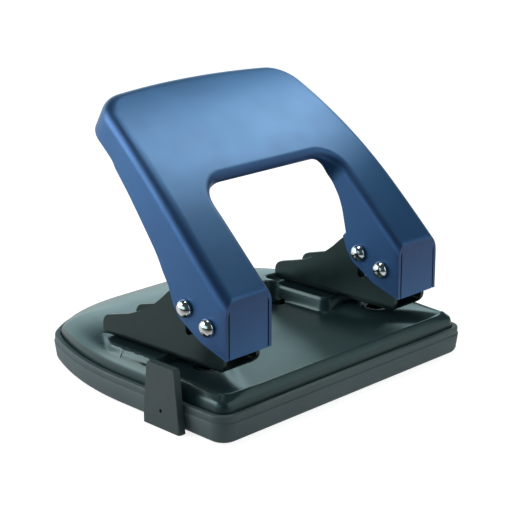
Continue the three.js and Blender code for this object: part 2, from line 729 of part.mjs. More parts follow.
const trayShoulderRadius = trayRadius(1, trayShoulderShare);
const trayHaunchRadius = trayRadius(2, trayHaunchShare);
const trayTailRadius = trayRadius(3, trayTailShare);

function basePlan(inset, frontRadius = Math.max(trayFrontRadius - inset, trayFrontRadius / 2)) {
  const corners = insetCorners(trayCorners, inset);
  const shoulder = trayShoulderRadius - inset;
  const haunch = Math.max(trayHaunchRadius - inset, fit);
  const tail = Math.max(trayTailRadius - inset, fit);
  return roundCorners(corners, [frontRadius, shoulder, haunch, tail, tail, haunch, shoulder, frontRadius]);
}

const traySlope = (trayHalfWidth - trayShoulderHalf) / (trayShoulderY + trayFront);
const traySideAt = (y) => trayHalfWidth - traySlope * (y + trayFront);

const ringsOf = (pairs) => pairs.map(([inset, height]) => ({ points: basePlan(inset), height }));

// Pressed form of the pan: a skirt, a rounded rim and a crown that falls off towards its rear
function panForm(skin, bottom) {
  const rise = crownHeight - skirtBottom;
  const reach = trayRear - baseInset - crownLevel;
  const ring = (points, up) => ({
    points,
    height: skirtBottom + up * rise - skin,
    fall: (y) => up * crownFall * (Math.max(y - crownLevel, 0) / reach) ** 2,
  });
  const rim = rimProfileShares.map(([across, up]) =>
    ring(basePlan(baseInset + skin + across * rimSpan), up));
  const inner = rim[rim.length - 1].points;
  const centreY = (trayRear - trayFront) / 2;
  const crown = crownProfileShares.map(([size, up]) =>
    ring(inner.map(([x, y]) => [x * size, centreY + (y - centreY) * size]), up));
  return loft([{ points: basePlan(baseInset + skin), height: bottom }, ...rim, ...crown]);
}

// The sunk table lies inside the rim at the front and the sides, and its rear edge steps round the
// two plateaus that the brackets stand on
function tableForm(grow, bottom, top) {
  const wide = trayHalfWidth + overrun;
  const right = [
    [wide, -trayFront - overrun], [wide, trenchRear + grow], [seatOuter - grow, trenchRear + grow],
    [seatOuter - grow, stopY + grow], [seatInner + grow, stopY + grow], [seatInner + grow, tableRear + grow],
  ];
  const radii = [0, 0, trenchRadius, seatCornerRadius, seatCornerRadius, tableCornerRadius];
  const left = right.map(([x, y]) => [-x, y]).reverse();
  const steps = roundCorners([...right, ...left], [...radii, ...radii.slice().reverse()], foldSteps);
  return upright(basePlan(rimInset - grow, tableCornerRadius), bottom, top)
    .intersect(upright(steps, bottom - overrun, top + overrun));
}

// Plan of the plateau under a bracket, moved in by the inset
function seatPlan(inset) {
  const rear = bracketRear + overrun;
  const corners = insetCorners([
    [seatInner, stopY], [seatOuter, stopY], [seatOuter, seatBendY],
    [seatOuter - seatTailInset, rear], [seatInner, rear],
  ], inset);
  const bend = rear - seatBendY;
  return roundCorners(corners, [seatCornerRadius, seatCornerRadius, bend, 0, seatCornerRadius], foldSteps);
}

function makeBasePlate() {
  const high = crownHeight + overrun;
  let plate = panForm(0, skirtBottom);
  let hollow = panForm(baseSheet, skirtBottom - overrun);
  plate = plate.subtract(tableForm(0, tableHeight, high));
  hollow = hollow.subtract(tableForm(baseSheet, tableHeight - baseSheet, high));
  [1, -1].forEach((side) => {
    const place = (points) => (side > 0 ? points : points.map(([x, y]) => [-x, y]).reverse());
    plate = plate.subtract(upright(place(seatPlan(0)), seatHeight, high))
      .add(upright(place(seatPlan(0)), tableHeight - baseSheet, seatHeight));
    hollow = hollow.subtract(upright(place(seatPlan(0)), seatHeight - baseSheet, high))
      .add(upright(place(seatPlan(baseSheet)), skirtBottom - overrun, seatHeight - baseSheet));
  });
  plate = plate.subtract(hollow);
  const under = skirtBottom - overrun;
  [1, -1].forEach((side) => {
    const x = side * legCentre;
    plate = plate.subtract(uprightRod(cutterRadius + cutterFit + dieWall + fit, x, cutterY, under, high));
    plate = plate.subtract(uprightRod(marginHoleRadius, side * marginHoleX, marginHoleY, under, high));
    rivetPlaces.forEach((y) => {
      plate = plate.subtract(uprightRod(rivetRadius + fit, x, y, under, high));
    });
  });
  return plate.subtract(block(
    [-trayHalfWidth, guideBarY - guideBarWidth / 2 - fit, guideBarBottom - fit],
    [-legCentre, guideBarY + guideBarWidth / 2 + fit, guideBarBottom + guideBarHeight + fit]));
}

function makeTray() {
  const rim = baseInset - fit;
  const foot = trayFootRadius;
  const footRings = [];
  for (let step = 0; step <= foldSteps; step += 1) {
    const angle = (step / foldSteps) * turn / 4;
    footRings.push([trayDraft + foot * (1 - Math.sin(angle)), foot * (1 - Math.cos(angle))]);
  }
  const outside = loft(ringsOf([
    ...footRings,
    [0, trayHeight - trayStepDrop - trayStepDepth],
    [trayStepDepth, trayHeight - trayStepDrop],
    [trayStepDepth, trayHeight],
  ]));
  const ledgeTop = skirtBottom - fit;
  const inside = loft(ringsOf([
    [trayDraft + trayWall + trayFootRadius / 2, trayFloor],
    [trayDraft + trayWall, trayFloor + trayFootRadius],
    [trayWall, ledgeTop - trayLedge - trayLedge],
    [rim + trayLedge, ledgeTop - trayLedge / 2],
    [rim + trayLedge, ledgeTop + overrun],
  ]));
  return outside.subtract(inside).subtract(loft(ringsOf([[rim, ledgeTop], [rim, trayHeight + overrun]])));
}

// The guide's tab stands outside the tapering left side of the tray, on the end of its bar
function makeGuide() {
  const inner = (y) => -traySideAt(y) - fit;
  const outer = (y) => inner(y) - guideTabThickness;
  const front = guideTabFront - guideTabFlare;
  const rear = guideTabRear + guideTabFlare;
  const corner = guideTabThickness / 3;
  const plan = roundCorners(
    [[inner(front), front], [inner(rear), rear], [outer(rear), rear], [outer(front), front]],
    [0, 0, corner, corner], foldSteps / 2);
  const middle = (guideTabFront + guideTabRear) / 2;
  const halfTop = (guideTabRear - guideTabFront) / 2;
  const face = roundCorners([
    [middle - halfTop - guideTabFlare, fit], [middle + halfTop + guideTabFlare, fit],
    [middle + halfTop, guideTabTop], [middle - halfTop, guideTabTop],
  ], [0, 0, corner, corner], foldSteps / 2);
  const reach = trayHalfWidth + guideTabThickness + overrun;
  const tab = upright(plan, 0, guideTabTop + overrun).intersect(crosswise(face, -reach, -legCentre));
  const low = guideBarBottom;
  const high = guideBarBottom + guideBarHeight;
  const near = guideBarY - guideBarWidth / 2;
  const far = guideBarY + guideBarWidth / 2;
  const bar = block([outer(guideBarY) + corner, near, low], [guideBarEnd, far, high]);
  const stop = block([guideBarEnd - guideEndStop, near, low], [guideBarEnd, far + guideStopWidth, high]);
  const dimple = crossRod(guideDimpleRadius, middle, guideDimpleHeight, -reach,
    outer(middle) + guideDimpleRadius, pinSides / 2);
  return tab.add(bar).add(stop).subtract(dimple);
}

// A strap folded round the bar and fixed under the table, wider by the room at its far side
function makeStrap(x, room) {
  const near = guideBarY - guideBarWidth / 2 - fit;
  const far = guideBarY + guideBarWidth / 2 + fit + room;
  const top = tableHeight - baseSheet - fit / 2;
  const low = guideBarBottom - fit;
  const section = [
    [near - strapSheet - strapFlange, top], [near - strapSheet - strapFlange, top - strapSheet],
    [near - strapSheet, top - strapSheet], [near - strapSheet, low - strapSheet],
    [far + strapSheet, low - strapSheet], [far + strapSheet, top - strapSheet],
    [far + strapSheet + strapFlange, top - strapSheet], [far + strapSheet + strapFlange, top],
    [far, top], [far, low], [near, low], [near, top],
  ];
  return crosswise(section, x - strapLength / 2, x + strapLength / 2);
}

addNode('chip_tray', makeTray(), mouldedPlastic());
addNode('base_plate', makeBasePlate(), baseSteel());
addNode('paper_guide', makeGuide(), mouldedPlastic());
addNode('guide_strap', makeStrap(strapX, 0), toolSteel());
addNode('guide_cradle', makeStrap(cradleX, guideStopWidth), toolSteel());
addNode('lever', makeLever(), lacqueredSteel());

[['left', -1], ['right', 1]].forEach(([side, sign]) => {
  const x = sign * legCentre;
  addNode(`bracket_${side}`, makeBracket(), darkSteel(), x);
  rivetPlaces.forEach((y, i) => {
    const place = ['front', 'rear'][i];
    addNode(`bracket_rivet_${side}_${place}`, makeRivet(y), toolSteel(), x);
  });
  addNode(`cutter_${side}`, makeCutter(), toolSteel(), x);
  addNode(`spring_washer_${side}`, makeWasher(), toolSteel(), x);
  addNode(`return_spring_${side}`, makeSpring(), toolSteel(), x);
  addNode(`die_${side}`, makeDie(), toolSteel(), x);
  const pins = [['fulcrum_pin', fulcrumPinRadius, 0, fulcrumHeight],
    ['drive_pin', drivePinRadius, driveReach, driveHeight]];
  pins.forEach(([name, radius, y, z]) => {
    const pin = addNode(`${name}_${side}`, makePin(radius), chromedSteel());
    pin.position.set(0, y, z);
    pin.rotation.z = sign > 0 ? 0 : turn / 2;
  });
});

export default part;
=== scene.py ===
# %% [markdown]
# # A two-hole desk punch
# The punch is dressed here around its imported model, which fixes every place and every joint. The
# visible pieces are made again in mesh code with finer folds, fillets and domes, and each one rides
# on the body that it belongs to. The hidden pieces keep their packed form and get a real finish.

# %% Frame
import bpy
import bmesh
import math
import numpy as np
from mathutils import Matrix, Vector
from mathutils.geometry import delaunay_2d_cdt


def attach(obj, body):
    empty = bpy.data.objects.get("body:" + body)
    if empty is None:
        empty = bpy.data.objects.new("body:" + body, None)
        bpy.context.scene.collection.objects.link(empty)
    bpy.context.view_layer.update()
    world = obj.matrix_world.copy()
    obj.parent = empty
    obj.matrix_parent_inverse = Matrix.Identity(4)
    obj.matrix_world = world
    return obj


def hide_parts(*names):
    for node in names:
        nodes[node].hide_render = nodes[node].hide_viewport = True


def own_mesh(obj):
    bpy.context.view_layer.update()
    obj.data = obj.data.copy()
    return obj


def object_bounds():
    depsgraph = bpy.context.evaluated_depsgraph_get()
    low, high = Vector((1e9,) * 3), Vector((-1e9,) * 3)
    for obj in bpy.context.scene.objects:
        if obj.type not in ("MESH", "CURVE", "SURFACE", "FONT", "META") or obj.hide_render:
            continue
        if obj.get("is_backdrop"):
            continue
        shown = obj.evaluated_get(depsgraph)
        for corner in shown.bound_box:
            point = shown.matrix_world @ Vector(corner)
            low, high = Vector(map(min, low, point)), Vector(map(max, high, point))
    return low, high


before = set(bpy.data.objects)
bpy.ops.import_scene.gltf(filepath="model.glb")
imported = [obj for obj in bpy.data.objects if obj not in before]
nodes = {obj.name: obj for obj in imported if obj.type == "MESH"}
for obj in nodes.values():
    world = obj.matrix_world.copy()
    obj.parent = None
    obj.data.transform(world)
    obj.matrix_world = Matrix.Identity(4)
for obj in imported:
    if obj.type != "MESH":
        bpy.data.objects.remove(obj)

cad_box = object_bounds()
print("packed pieces:", len(nodes))

# %% [markdown]
# ## Units
# The sizes below are in millimetres, as a toolmaker writes them, and Blender works in metres. Every
# mesh is made in millimetres and shrunk once, when it becomes an object. The punch is alike on both
# sides, so most pieces are made in a loop over left and right. The two cutters stand 80 mm apart, the
# spacing of the filing standard.

# %% Millimetres to metres
MM = 0.001
TURN = math.tau
SIDES = (("left", -1), ("right", 1))
PUNCH_X = 40


def piece(name, points, faces):
    """A smooth-shaded mesh object from points in millimetres."""
    mesh = bpy.data.meshes.new(name)
    mesh.from_pydata([tuple(c * MM for c in p) for p in points], [], faces)
    mesh.validate()
    mesh.update()
    made = bpy.data.objects.new(name, mesh)
    bpy.context.scene.collection.objects.link(made)
    mesh.shade_smooth()
    return made


print("one unit is", 1 / MM, "mm")

# %% [markdown]
# ## The camera
# The camera was solved from the photograph: the straight edges of the punch and the 80 mm between its
# two cutters fix where it stood. It has a long lens, so the punch shows little perspective.

# %% Camera
AZIMUTH = math.radians(-46.16)
ELEVATION = math.radians(16.82)
back = Vector((math.sin(AZIMUTH) * math.cos(ELEVATION), -math.cos(AZIMUTH) * math.cos(ELEVATION),
               math.sin(ELEVATION)))
right = Vector((math.cos(AZIMUTH), math.sin(AZIMUTH), 0))
camera = bpy.data.objects.new("camera", bpy.data.cameras.new("camera"))
bpy.context.scene.collection.objects.link(camera)
camera.matrix_world = Matrix.Translation(Vector((-362.2, -319.7, 189.2)) * MM) @ Matrix(
    (right, back.cross(right), back)).transposed().to_4x4()
camera.data.lens = 112.7
camera.data.sensor_width = 36
camera.data.clip_start = 0.01
bpy.context.scene.camera = camera
print("camera stands", round(camera.location.length, 3), "m away")

# %% [markdown]
# ## Colours and nodes
# Hex colours are what a paint chart or a screen shows. Shaders work on linear light, so one function
# turns the one into the other. One more small function adds any node, with its settings and links.

# %% Colour and node helpers


def paint(hex_code):
    """Linear RGBA from an sRGB hex colour."""
    parts = [int(hex_code[i:i + 2], 16) / 255 for i in (0, 2, 4)]
    return tuple(c / 12.92 if c <= 0.04045 else ((c + 0.055) / 1.055) ** 2.4 for c in parts) + (1,)


def add_node(tree, kind, inputs=None, **settings):
    """A node of any kind: inputs are values or sockets to link, by name or number."""
    made = tree.nodes.new(kind)
    for name, value in settings.items():
        setattr(made, name, value)
    for name, value in (inputs or {}).items():
        if isinstance(value, bpy.types.NodeSocket):
            tree.links.new(value, made.inputs[name])
        else:
            made.inputs[name].default_value = value
    return made


def new_material(name):
    """An empty material with its tree, its surface shader and its object coordinates."""
    made = bpy.data.materials.new(name)
    made.use_nodes = True
    tree = made.node_tree
    shader = tree.nodes["Principled BSDF"]
    place = add_node(tree, "ShaderNodeTexCoord").outputs["Object"]
    return made, tree, shader, place


def per_mm(size):
    """Texture scale for features that repeat about every size millimetres."""
    return 1 / (size * MM)


print("mid blue in linear light:", [round(c, 3) for c in paint("3a6a9e")[:3]])

# %% [markdown]
# ## Surface detail that several finishes share
# Sprayed and baked paint is never a mirror: it dries with a faint orange peel, its gloss drifts from
# place to place, and its colour does too, by a few percent. One function lays these three on a shader,
# so that each finish only states how strong and how wide its own are. Mouldings and bare metal have
# the same three, and ground or drawn metal has fine marks along one direction as well.

# %% Drifting colour, drifting gloss and a fine relief


def weather(tree, shader, place, light, dark, gloss, patch_mm, grain_mm, relief_mm, marks_mm=0.0):
    """Colour between light and dark, roughness between two values, and a bump of relief_mm."""
    drift = add_node(tree, "ShaderNodeTexNoise", {"Vector": place, "Scale": per_mm(patch_mm), "Detail": 3.0,
                                                  "Roughness": 0.55})
    shade = add_node(tree, "ShaderNodeMapRange", {"Value": drift.outputs["Fac"], "From Min": 0.3,
                                                  "From Max": 0.7})
    mix = add_node(tree, "ShaderNodeMix", {"Factor": shade.outputs[0], 6: paint(dark), 7: paint(light)},
                   data_type="RGBA")
    tree.links.new(mix.outputs[2], shader.inputs["Base Color"])
    grain = add_node(tree, "ShaderNodeTexNoise", {"Vector": place, "Scale": per_mm(grain_mm), "Detail": 2.0})
    wipe = add_node(tree, "ShaderNodeTexNoise", {"Vector": place, "Scale": per_mm(patch_mm * 0.4),
                                                 "Detail": 4.0})
    rough = add_node(tree, "ShaderNodeMapRange", {"Value": wipe.outputs["Fac"], "From Min": 0.3,
                                                  "From Max": 0.7, "To Min": gloss[0], "To Max": gloss[1]})
    tree.links.new(rough.outputs[0], shader.inputs["Roughness"])
    height = grain.outputs["Fac"]
    if marks_mm:
        brushed = add_node(tree, "ShaderNodeMapping", {"Vector": place, "Scale": (1.0, 0.05, 1.0)})
        lines = add_node(tree, "ShaderNodeTexNoise", {"Vector": brushed.outputs[0], "Scale": per_mm(marks_mm),
                                                      "Detail": 2.0})
        height = add_node(tree, "ShaderNodeMath", {0: height, 1: lines.outputs["Fac"]},
                          operation="ADD").outputs[0]
    bump = add_node(tree, "ShaderNodeBump", {"Height": height, "Distance": relief_mm * MM, "Strength": 1.0})
    tree.links.new(bump.outputs["Normal"], shader.inputs["Normal"])


print("a peel of 1.5 mm has the scale", round(per_mm(1.5)))

# %% [markdown]
# ## Stoved blue enamel
# The lever is pressed mild steel, sprayed with a satin stoving enamel and baked. The paint carries a
# fine aluminium flake, so a flat glows pale blue where it faces a lamp and sinks to navy where it
# doesn't. The sheen is soft and broad, with a faint orange peel about 1.5 mm wide and a thin clear top
# layer from the binder that rises while the paint flows in the oven.
#
# A fold is painted a deeper blue than the flats beside it, as painted shade for the dark band along each
# fold. The lever's mesh carries a value named bend, which is one in the middle of a fold and zero on a flat.

# %% Stoved enamel, blue
blue_enamel, tree, shader, place = new_material("stoved_enamel_blue")
weather(tree, shader, place, "295d92", "25568a", (0.42, 0.5), patch_mm=24, grain_mm=1.5, relief_mm=0.003)
shader.inputs["Metallic"].default_value = 0.72
shader.inputs["Coat Weight"].default_value = 0.45
shader.inputs["Coat Roughness"].default_value = 0.4
# Painted shade: along the folds the blue deepens towards navy, by the lever's bend value.
fold_shade_attribute = add_node(tree, "ShaderNodeAttribute", attribute_name="bend")
flat_blue = shader.inputs["Base Color"].links[0].from_socket
deep = add_node(tree, "ShaderNodeMix", {"Factor": fold_shade_attribute.outputs["Fac"], 6: flat_blue,
                                        7: paint("1c3766")}, data_type="RGBA")
tree.links.new(deep.outputs[2], shader.inputs["Base Color"])
print("blue enamel:", len(tree.nodes), "nodes")

# %% [markdown]
# ## Semi-gloss grey-green enamel
# The pan has a glossier enamel than the lever, in a dark grey-green. It mirrors the light ground and
# the studio in soft stripes along its pressed edges, so it needs less roughness.

# %% Semi-gloss enamel, grey-green
pan_enamel, tree, shader, place = new_material("semi_gloss_enamel_grey_green")
weather(tree, shader, place, "24363a", "1e2f33", (0.28, 0.34), patch_mm=30, grain_mm=1.8, relief_mm=0.002)
shader.inputs["IOR"].default_value = 1.5
shader.inputs["Specular Tint"].default_value = paint("b4e0de")
shader.inputs["Coat Weight"].default_value = 0.3
shader.inputs["Coat Roughness"].default_value = 0.24
print("pan enamel:", len(tree.nodes), "nodes")

# %% [markdown]
# ## Satin black enamel
# The channels that carry the lever are steel in a thin black enamel. Thin paint follows the rolled
# sheet under it, so its peel is finer than the lever's and its sheen a little tighter.

# %% Satin enamel, black
black_enamel, tree, shader, place = new_material("satin_enamel_black")
weather(tree, shader, place, "172424", "121b1c", (0.3, 0.4), patch_mm=14, grain_mm=0.9, relief_mm=0.003)
shader.inputs["IOR"].default_value = 1.5
shader.inputs["Specular Tint"].default_value = paint("a8dcda")
shader.inputs["Coat Weight"].default_value = 0.15
shader.inputs["Coat Roughness"].default_value = 0.25
print("black enamel:", len(tree.nodes), "nodes")

# %% [markdown]
# ## Moulded polystyrene
# The tray is injection-moulded in tough polystyrene from a spark-eroded mould, which leaves a fine
# matt grain. The real grain is about 0.1 mm. It is drawn here at 0.45 mm, as coarse as a render at
# this distance needs to show it.

# %% Moulded polystyrene, slate
slate_plastic, tree, shader, place = new_material("moulded_polystyrene_slate")
weather(tree, shader, place, "4a5b5f", "425256", (0.5, 0.6), patch_mm=36, grain_mm=0.45, relief_mm=0.02)
shader.inputs["IOR"].default_value = 1.55
print("slate plastic:", len(tree.nodes), "nodes")

# %% [markdown]
# ## The guide's plastic
# The paper guide is moulded in the same polystyrene from a darker batch, with a finer spark-eroded
# grain. Fingers have polished it a little, so its gloss is higher in patches.

# %% Moulded polystyrene, dark slate
dark_plastic, tree, shader, place = new_material("moulded_polystyrene_dark_slate")
weather(tree, shader, place, "2f4043", "29393c", (0.46, 0.58), patch_mm=12, grain_mm=0.4, relief_mm=0.015)
shader.inputs["IOR"].default_value = 1.59
print("guide plastic:", len(tree.nodes), "nodes")

# %% [markdown]
# ## Chrome plate
# The pin heads are domes with bright chrome over polished steel. A plain metal shader with little
# roughness does it: what the eye reads as chrome is the room in the dome, white to one side and dark
# to the other. Fine polishing marks, drawn 0.4 mm apart, keep the reflection from being perfect.

# %% Chrome plate on steel


def bare_metal(name, light, dark, gloss, **detail):
    """A metal with no paint on it. Metals keep the shader's own IOR."""
    made, tree, shader, place = new_material(name)
    weather(tree, shader, place, light, dark, gloss, **detail)
    shader.inputs["Metallic"].default_value = 1.0
    return made


chrome = bare_metal("chrome_plate_on_steel", "e6e7e9", "dcdee1", (0.07, 0.13), patch_mm=3, grain_mm=0.4,
                    relief_mm=0.002)
print("chrome:", len(chrome.node_tree.nodes), "nodes")

# %% [markdown]
# ## Zinc-plated, ground, near-black and drawn steel
# The rivets and washers are zinc-plated: pale, slightly milky, with a patchy gloss. The rods and
# straps are ground tool steel, with fine marks along one direction. The dies are near black, as painted
# shade that sinks them into the shadow under the brackets, and the springs are drawn wire. All are
# metals that differ in colour, gloss and marks.

# %% Four steels
zinc_steel = bare_metal("zinc_plated_steel", "b4b6b6", "9c9fa0", (0.25, 0.42), patch_mm=2.5, grain_mm=0.4,
                        relief_mm=0.004)
ground_steel = bare_metal("ground_tool_steel", "a9abae", "8f9296", (0.2, 0.34), patch_mm=4, grain_mm=0.5,
                          relief_mm=0.004, marks_mm=0.5)
spring_wire = bare_metal("drawn_spring_wire", "85888c", "6c6f74", (0.28, 0.4), patch_mm=2, grain_mm=0.3,
                         relief_mm=0.003, marks_mm=0.4)
# Painted shade: the dies are near black so that they sink into the shadow under the brackets.
die_steel_painted_shade = bare_metal("near_black_die_steel_painted_shade", "25292d", "1b1e21", (0.35, 0.5), patch_mm=3, grain_mm=0.4,
                         relief_mm=0.003)
print("bare steels:", [m.name for m in (zinc_steel, ground_steel, spring_wire, die_steel_painted_shade)])

# %% [markdown]
# ## Outlines
# Sheet metal and mouldings are drawn as outlines with rounded corners. One helper moves every edge of
# an outline inwards and one puts an arc of its own radius on each corner. The others draw a
# rectangle, a hole, the profile of a low dome and the mirror half of an outline.

# %% Outline helpers


def unit(x, y):
    """The direction of (x, y), with length one."""
    length = math.hypot(x, y)
    return x / length, y / length


def move_in(corners, inset):
    """Corners of an outline whose edges have all moved in by the inset."""
    moved = []
    for i, (x, y) in enumerate(corners):
        px, py = corners[i - 1]
        nx, ny = corners[(i + 1) % len(corners)]
        bx, by = unit(x - px, y - py)
        ax, ay = unit(nx - x, ny - y)
        reach = inset / (1 + by * ay + bx * ax)
        moved.append((x + (-by - ay) * reach, y + (bx + ax) * reach))
    return moved


def round_off(corners, radii, steps=10):
    """The outline with an arc of the given radius on each corner."""
    points = []
    for i, (x, y) in enumerate(corners):
        radius = radii[i]
        if radius == 0:
            points.append((x, y))
            continue
        px, py = corners[i - 1]
        nx, ny = corners[(i + 1) % len(corners)]
        bx, by = unit(px - x, py - y)
        ax, ay = unit(nx - x, ny - y)
        half = math.acos(max(-1, min(1, bx * ax + by * ay))) / 2
        mx, my = unit(bx + ax, by + ay)
        cx, cy = x + mx * radius / math.sin(half), y + my * radius / math.sin(half)
        reach = radius / math.tan(half)
        sx, sy = x + bx * reach - cx, y + by * reach - cy
        ex, ey = x + ax * reach - cx, y + ay * reach - cy
        sweep = math.atan2(sx * ey - sy * ex, sx * ex + sy * ey)
        for step in range(steps + 1):
            angle = sweep * step / steps
            points.append((cx + sx * math.cos(angle) - sy * math.sin(angle),
                           cy + sx * math.sin(angle) + sy * math.cos(angle)))
    return points


def oblong(left, low, right, top):
    """The outline of a rectangle."""
    return [(left, low), (right, low), (right, top), (left, top)]


def both_sides(half):
    """The right half of an outline and its mirror half."""
    return half + [(-x, y) for x, y in half[::-1]]


def circle(radius, x, y, sides=40):
    """The outline of a round hole about (x, y)."""
    return [(x + radius * math.cos(TURN * i / sides), y + radius * math.sin(TURN * i / sides))
            for i in range(sides)]


def dome(radius, rise, steps, foot=0):
    """The profile of a low dome, from its rim up to its top on the axis."""
    angles = [i / steps * TURN / 4 for i in range(steps)]
    return [(radius * math.cos(a), foot + rise * math.sin(a)) for a in angles] + [(0, foot + rise)]


print("a rounded square has", len(round_off(oblong(0, 0, 9, 9), [2] * 4)), "points")

# %% [markdown]
# ## Solids from outlines
# A stack of rings makes the tray, a turned profile makes pins and rivets, and a prism makes what
# is cut or folded from sheet. Cuts use the exact boolean, which gives clean edges on thin sheet.

# %% Rings, turned bodies, prisms and cuts
SAME_POINT = 1e-7


def between_rings(count, size):
    """Quads from each ring of size points to the next."""
    return [(a + i, a + (i + 1) % size, a + size + (i + 1) % size, a + size + i)
            for a in range(0, (count - 1) * size, size) for i in range(size)]


def ring_stack(name, rings):
    """A solid through rings of equally many points, with end faces."""
    size = len(rings[0])
    points = [p for ring in rings for p in ring]
    ends = [tuple(reversed(range(size))), tuple(range(len(points) - size, len(points)))]
    return piece(name, points, between_rings(len(rings), size) + ends)


def face_outwards(made, weld=0):
    """The object with all faces turned outwards. Points closer than weld, in metres, are joined first."""
    work = bmesh.new()
    work.from_mesh(made.data)
    if weld:
        bmesh.ops.remove_doubles(work, verts=work.verts, dist=weld)
    bmesh.ops.recalc_face_normals(work, faces=work.faces)
    work.to_mesh(made.data)
    work.free()
    return made


def turned(name, profile, sides, place):
    """A body turned about an upright axis at place, from a profile of (radius, height)."""
    points = [(x, y, place[2] + height) for radius, height in profile
              for x, y in circle(radius, place[0], place[1], sides)]
    return face_outwards(piece(name, points, between_rings(len(profile), sides)), weld=SAME_POINT)


def prism(name, outline, axis, low, high):
    """A prism along X, Y or Z. The outline is in (y, z), (x, z) or (x, y)."""
    put = {"x": lambda u, v, w: (w, u, v),
           "y": lambda u, v, w: (u, w, v),
           "z": lambda u, v, w: (u, v, w)}[axis]
    return face_outwards(ring_stack(name, [[put(u, v, w) for u, v in outline] for w in (low, high)]))


def combine(body, tools, how):
    """The body after each tool is cut away, joined on or intersected with it."""
    for tool in tools:
        change = body.modifiers.new("cut", "BOOLEAN")
        change.operation = how
        change.solver = "EXACT"
        change.object = tool
        bpy.context.view_layer.update()
        result = bpy.data.meshes.new_from_object(body.evaluated_get(bpy.context.evaluated_depsgraph_get()))
        body.modifiers.clear()
        body.data = result
        bpy.data.objects.remove(tool)
    return body


print("between two rings of four points lie", len(between_rings(2, 4)), "quads")

# %% [markdown]
# ## Edges and finish
# No real edge is quite sharp: paint pulls round it and tumbling wears it, and that thin rounded line
# is what catches the light. A bevel modifier makes it and leaves the mesh below as it was cut, and
# weighted normals let the flat faces shade as flat. Another helper gives a piece its finish and says
# which body of the mechanism it rides on.

# %% Eased edges and the finish
EDGE_ANGLE = math.radians(32)
WELD = 4e-6


def ease_edges(body, width):
    """Rounded edges, as paint and tumbling leave them, and flat faces that shade as flat."""
    work = bmesh.new()
    work.from_mesh(body.data)
    bmesh.ops.remove_doubles(work, verts=work.verts, dist=WELD)
    bmesh.ops.dissolve_degenerate(work, edges=work.edges, dist=WELD)
    work.to_mesh(body.data)
    work.free()
    body.data.shade_smooth()
    body.data.set_sharp_from_angle(angle=EDGE_ANGLE)
    rim = body.modifiers.new("eased", "BEVEL")
    rim.width = width * MM
    rim.segments = 2
    rim.limit_method = "ANGLE"
    rim.angle_limit = EDGE_ANGLE
    level = body.modifiers.new("level", "WEIGHTED_NORMAL")
    level.keep_sharp = True
    level.weight = 60


def dress(body, material, ride_on, stands_for):
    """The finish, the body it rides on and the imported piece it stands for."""
    body.data.materials.clear()
    body.data.materials.append(material)
    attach(body, ride_on)
    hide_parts(stands_for)
    print(body.name, "faces:", len(body.data.polygons))


print("edges are eased where faces meet at more than", round(math.degrees(EDGE_ANGLE)), "degrees")

# %% [markdown]
# ## The lever
# On the real punch the lever is one pressed sheet: a flat front, a top that bows away to the rear, and
# edges folded down all round and round the window. It could be modelled by hand and subdivided, but
# the folds have real radii, so the sheet is computed: a place on it is given by x, by the run along
# the bowed top and by the depth square to it. The fulcrum line lies at y 0, at the height PIVOT_Z, and
# the drive pin stands behind and a little above it.

# %% The lever's bowed top
LEVER_SHEET = 1.2
LEVER_HALF = 49.8
SLOPE = math.radians(44.2)
STRAIGHT = 22.5
TOP_BOW = 224
SIDE_BOW = 430
SIDE_RUN = 71.5
REAR_CORNER = 12.5
REAR_BOW = 300
FOLD = 4
WINDOW_HALF = 30.2
WINDOW_RUN = 39
WINDOW_CORNER = 9
WINDOW_FOLD = 3
FLANGE = 21
LEG_FRONT = 7.4
LEG_REAR = 17.2
LEG_DROP = 8.9
PIVOT_Z = 32
DRIVE_Y = 9.5
DRIVE_UP = 3.8
FORWARD = 6.5
RISE = 10.5
CORNER_STEPS = 14
FOLD_STEPS = 8


def on_lever(x, along, depth):
    """The place in space of a point of the sheet."""
    straight = min(along, STRAIGHT)
    angle = SLOPE - (along - straight) / TOP_BOW
    y = -FORWARD + straight * math.cos(SLOPE) + TOP_BOW * (math.sin(SLOPE) - math.sin(angle))
    z = PIVOT_Z + RISE + straight * math.sin(SLOPE) + TOP_BOW * (math.cos(angle) - math.cos(SLOPE))
    return x, y + depth * math.sin(angle), z - depth * math.cos(angle)


print("rear of the top:", [round(c, 1) for c in on_lever(0, SIDE_RUN + REAR_CORNER, 0)])

# %% [markdown]
# The sheet's outline is one loop: up the right side, round the rear, down the left side and back round
# the window. Each station on it knows which way is outwards, so that the fold can turn down there.

# %% The lever's outline


def window_half(front):
    """Stations (x, along, outwards) round the right half of the window, from the front."""
    stations = [(WINDOW_HALF, along, (-1, 0)) for along in
                [front, front / 2, 0, 6, 12, 17, STRAIGHT, 26]]
    for step in range(CORNER_STEPS + 1):
        angle = step / CORNER_STEPS * TURN / 4
        out = (-math.cos(angle), -math.sin(angle))
        stations.append((WINDOW_HALF - WINDOW_CORNER - WINDOW_CORNER * out[0],
                         WINDOW_RUN - WINDOW_CORNER - WINDOW_CORNER * out[1], out))
    return stations


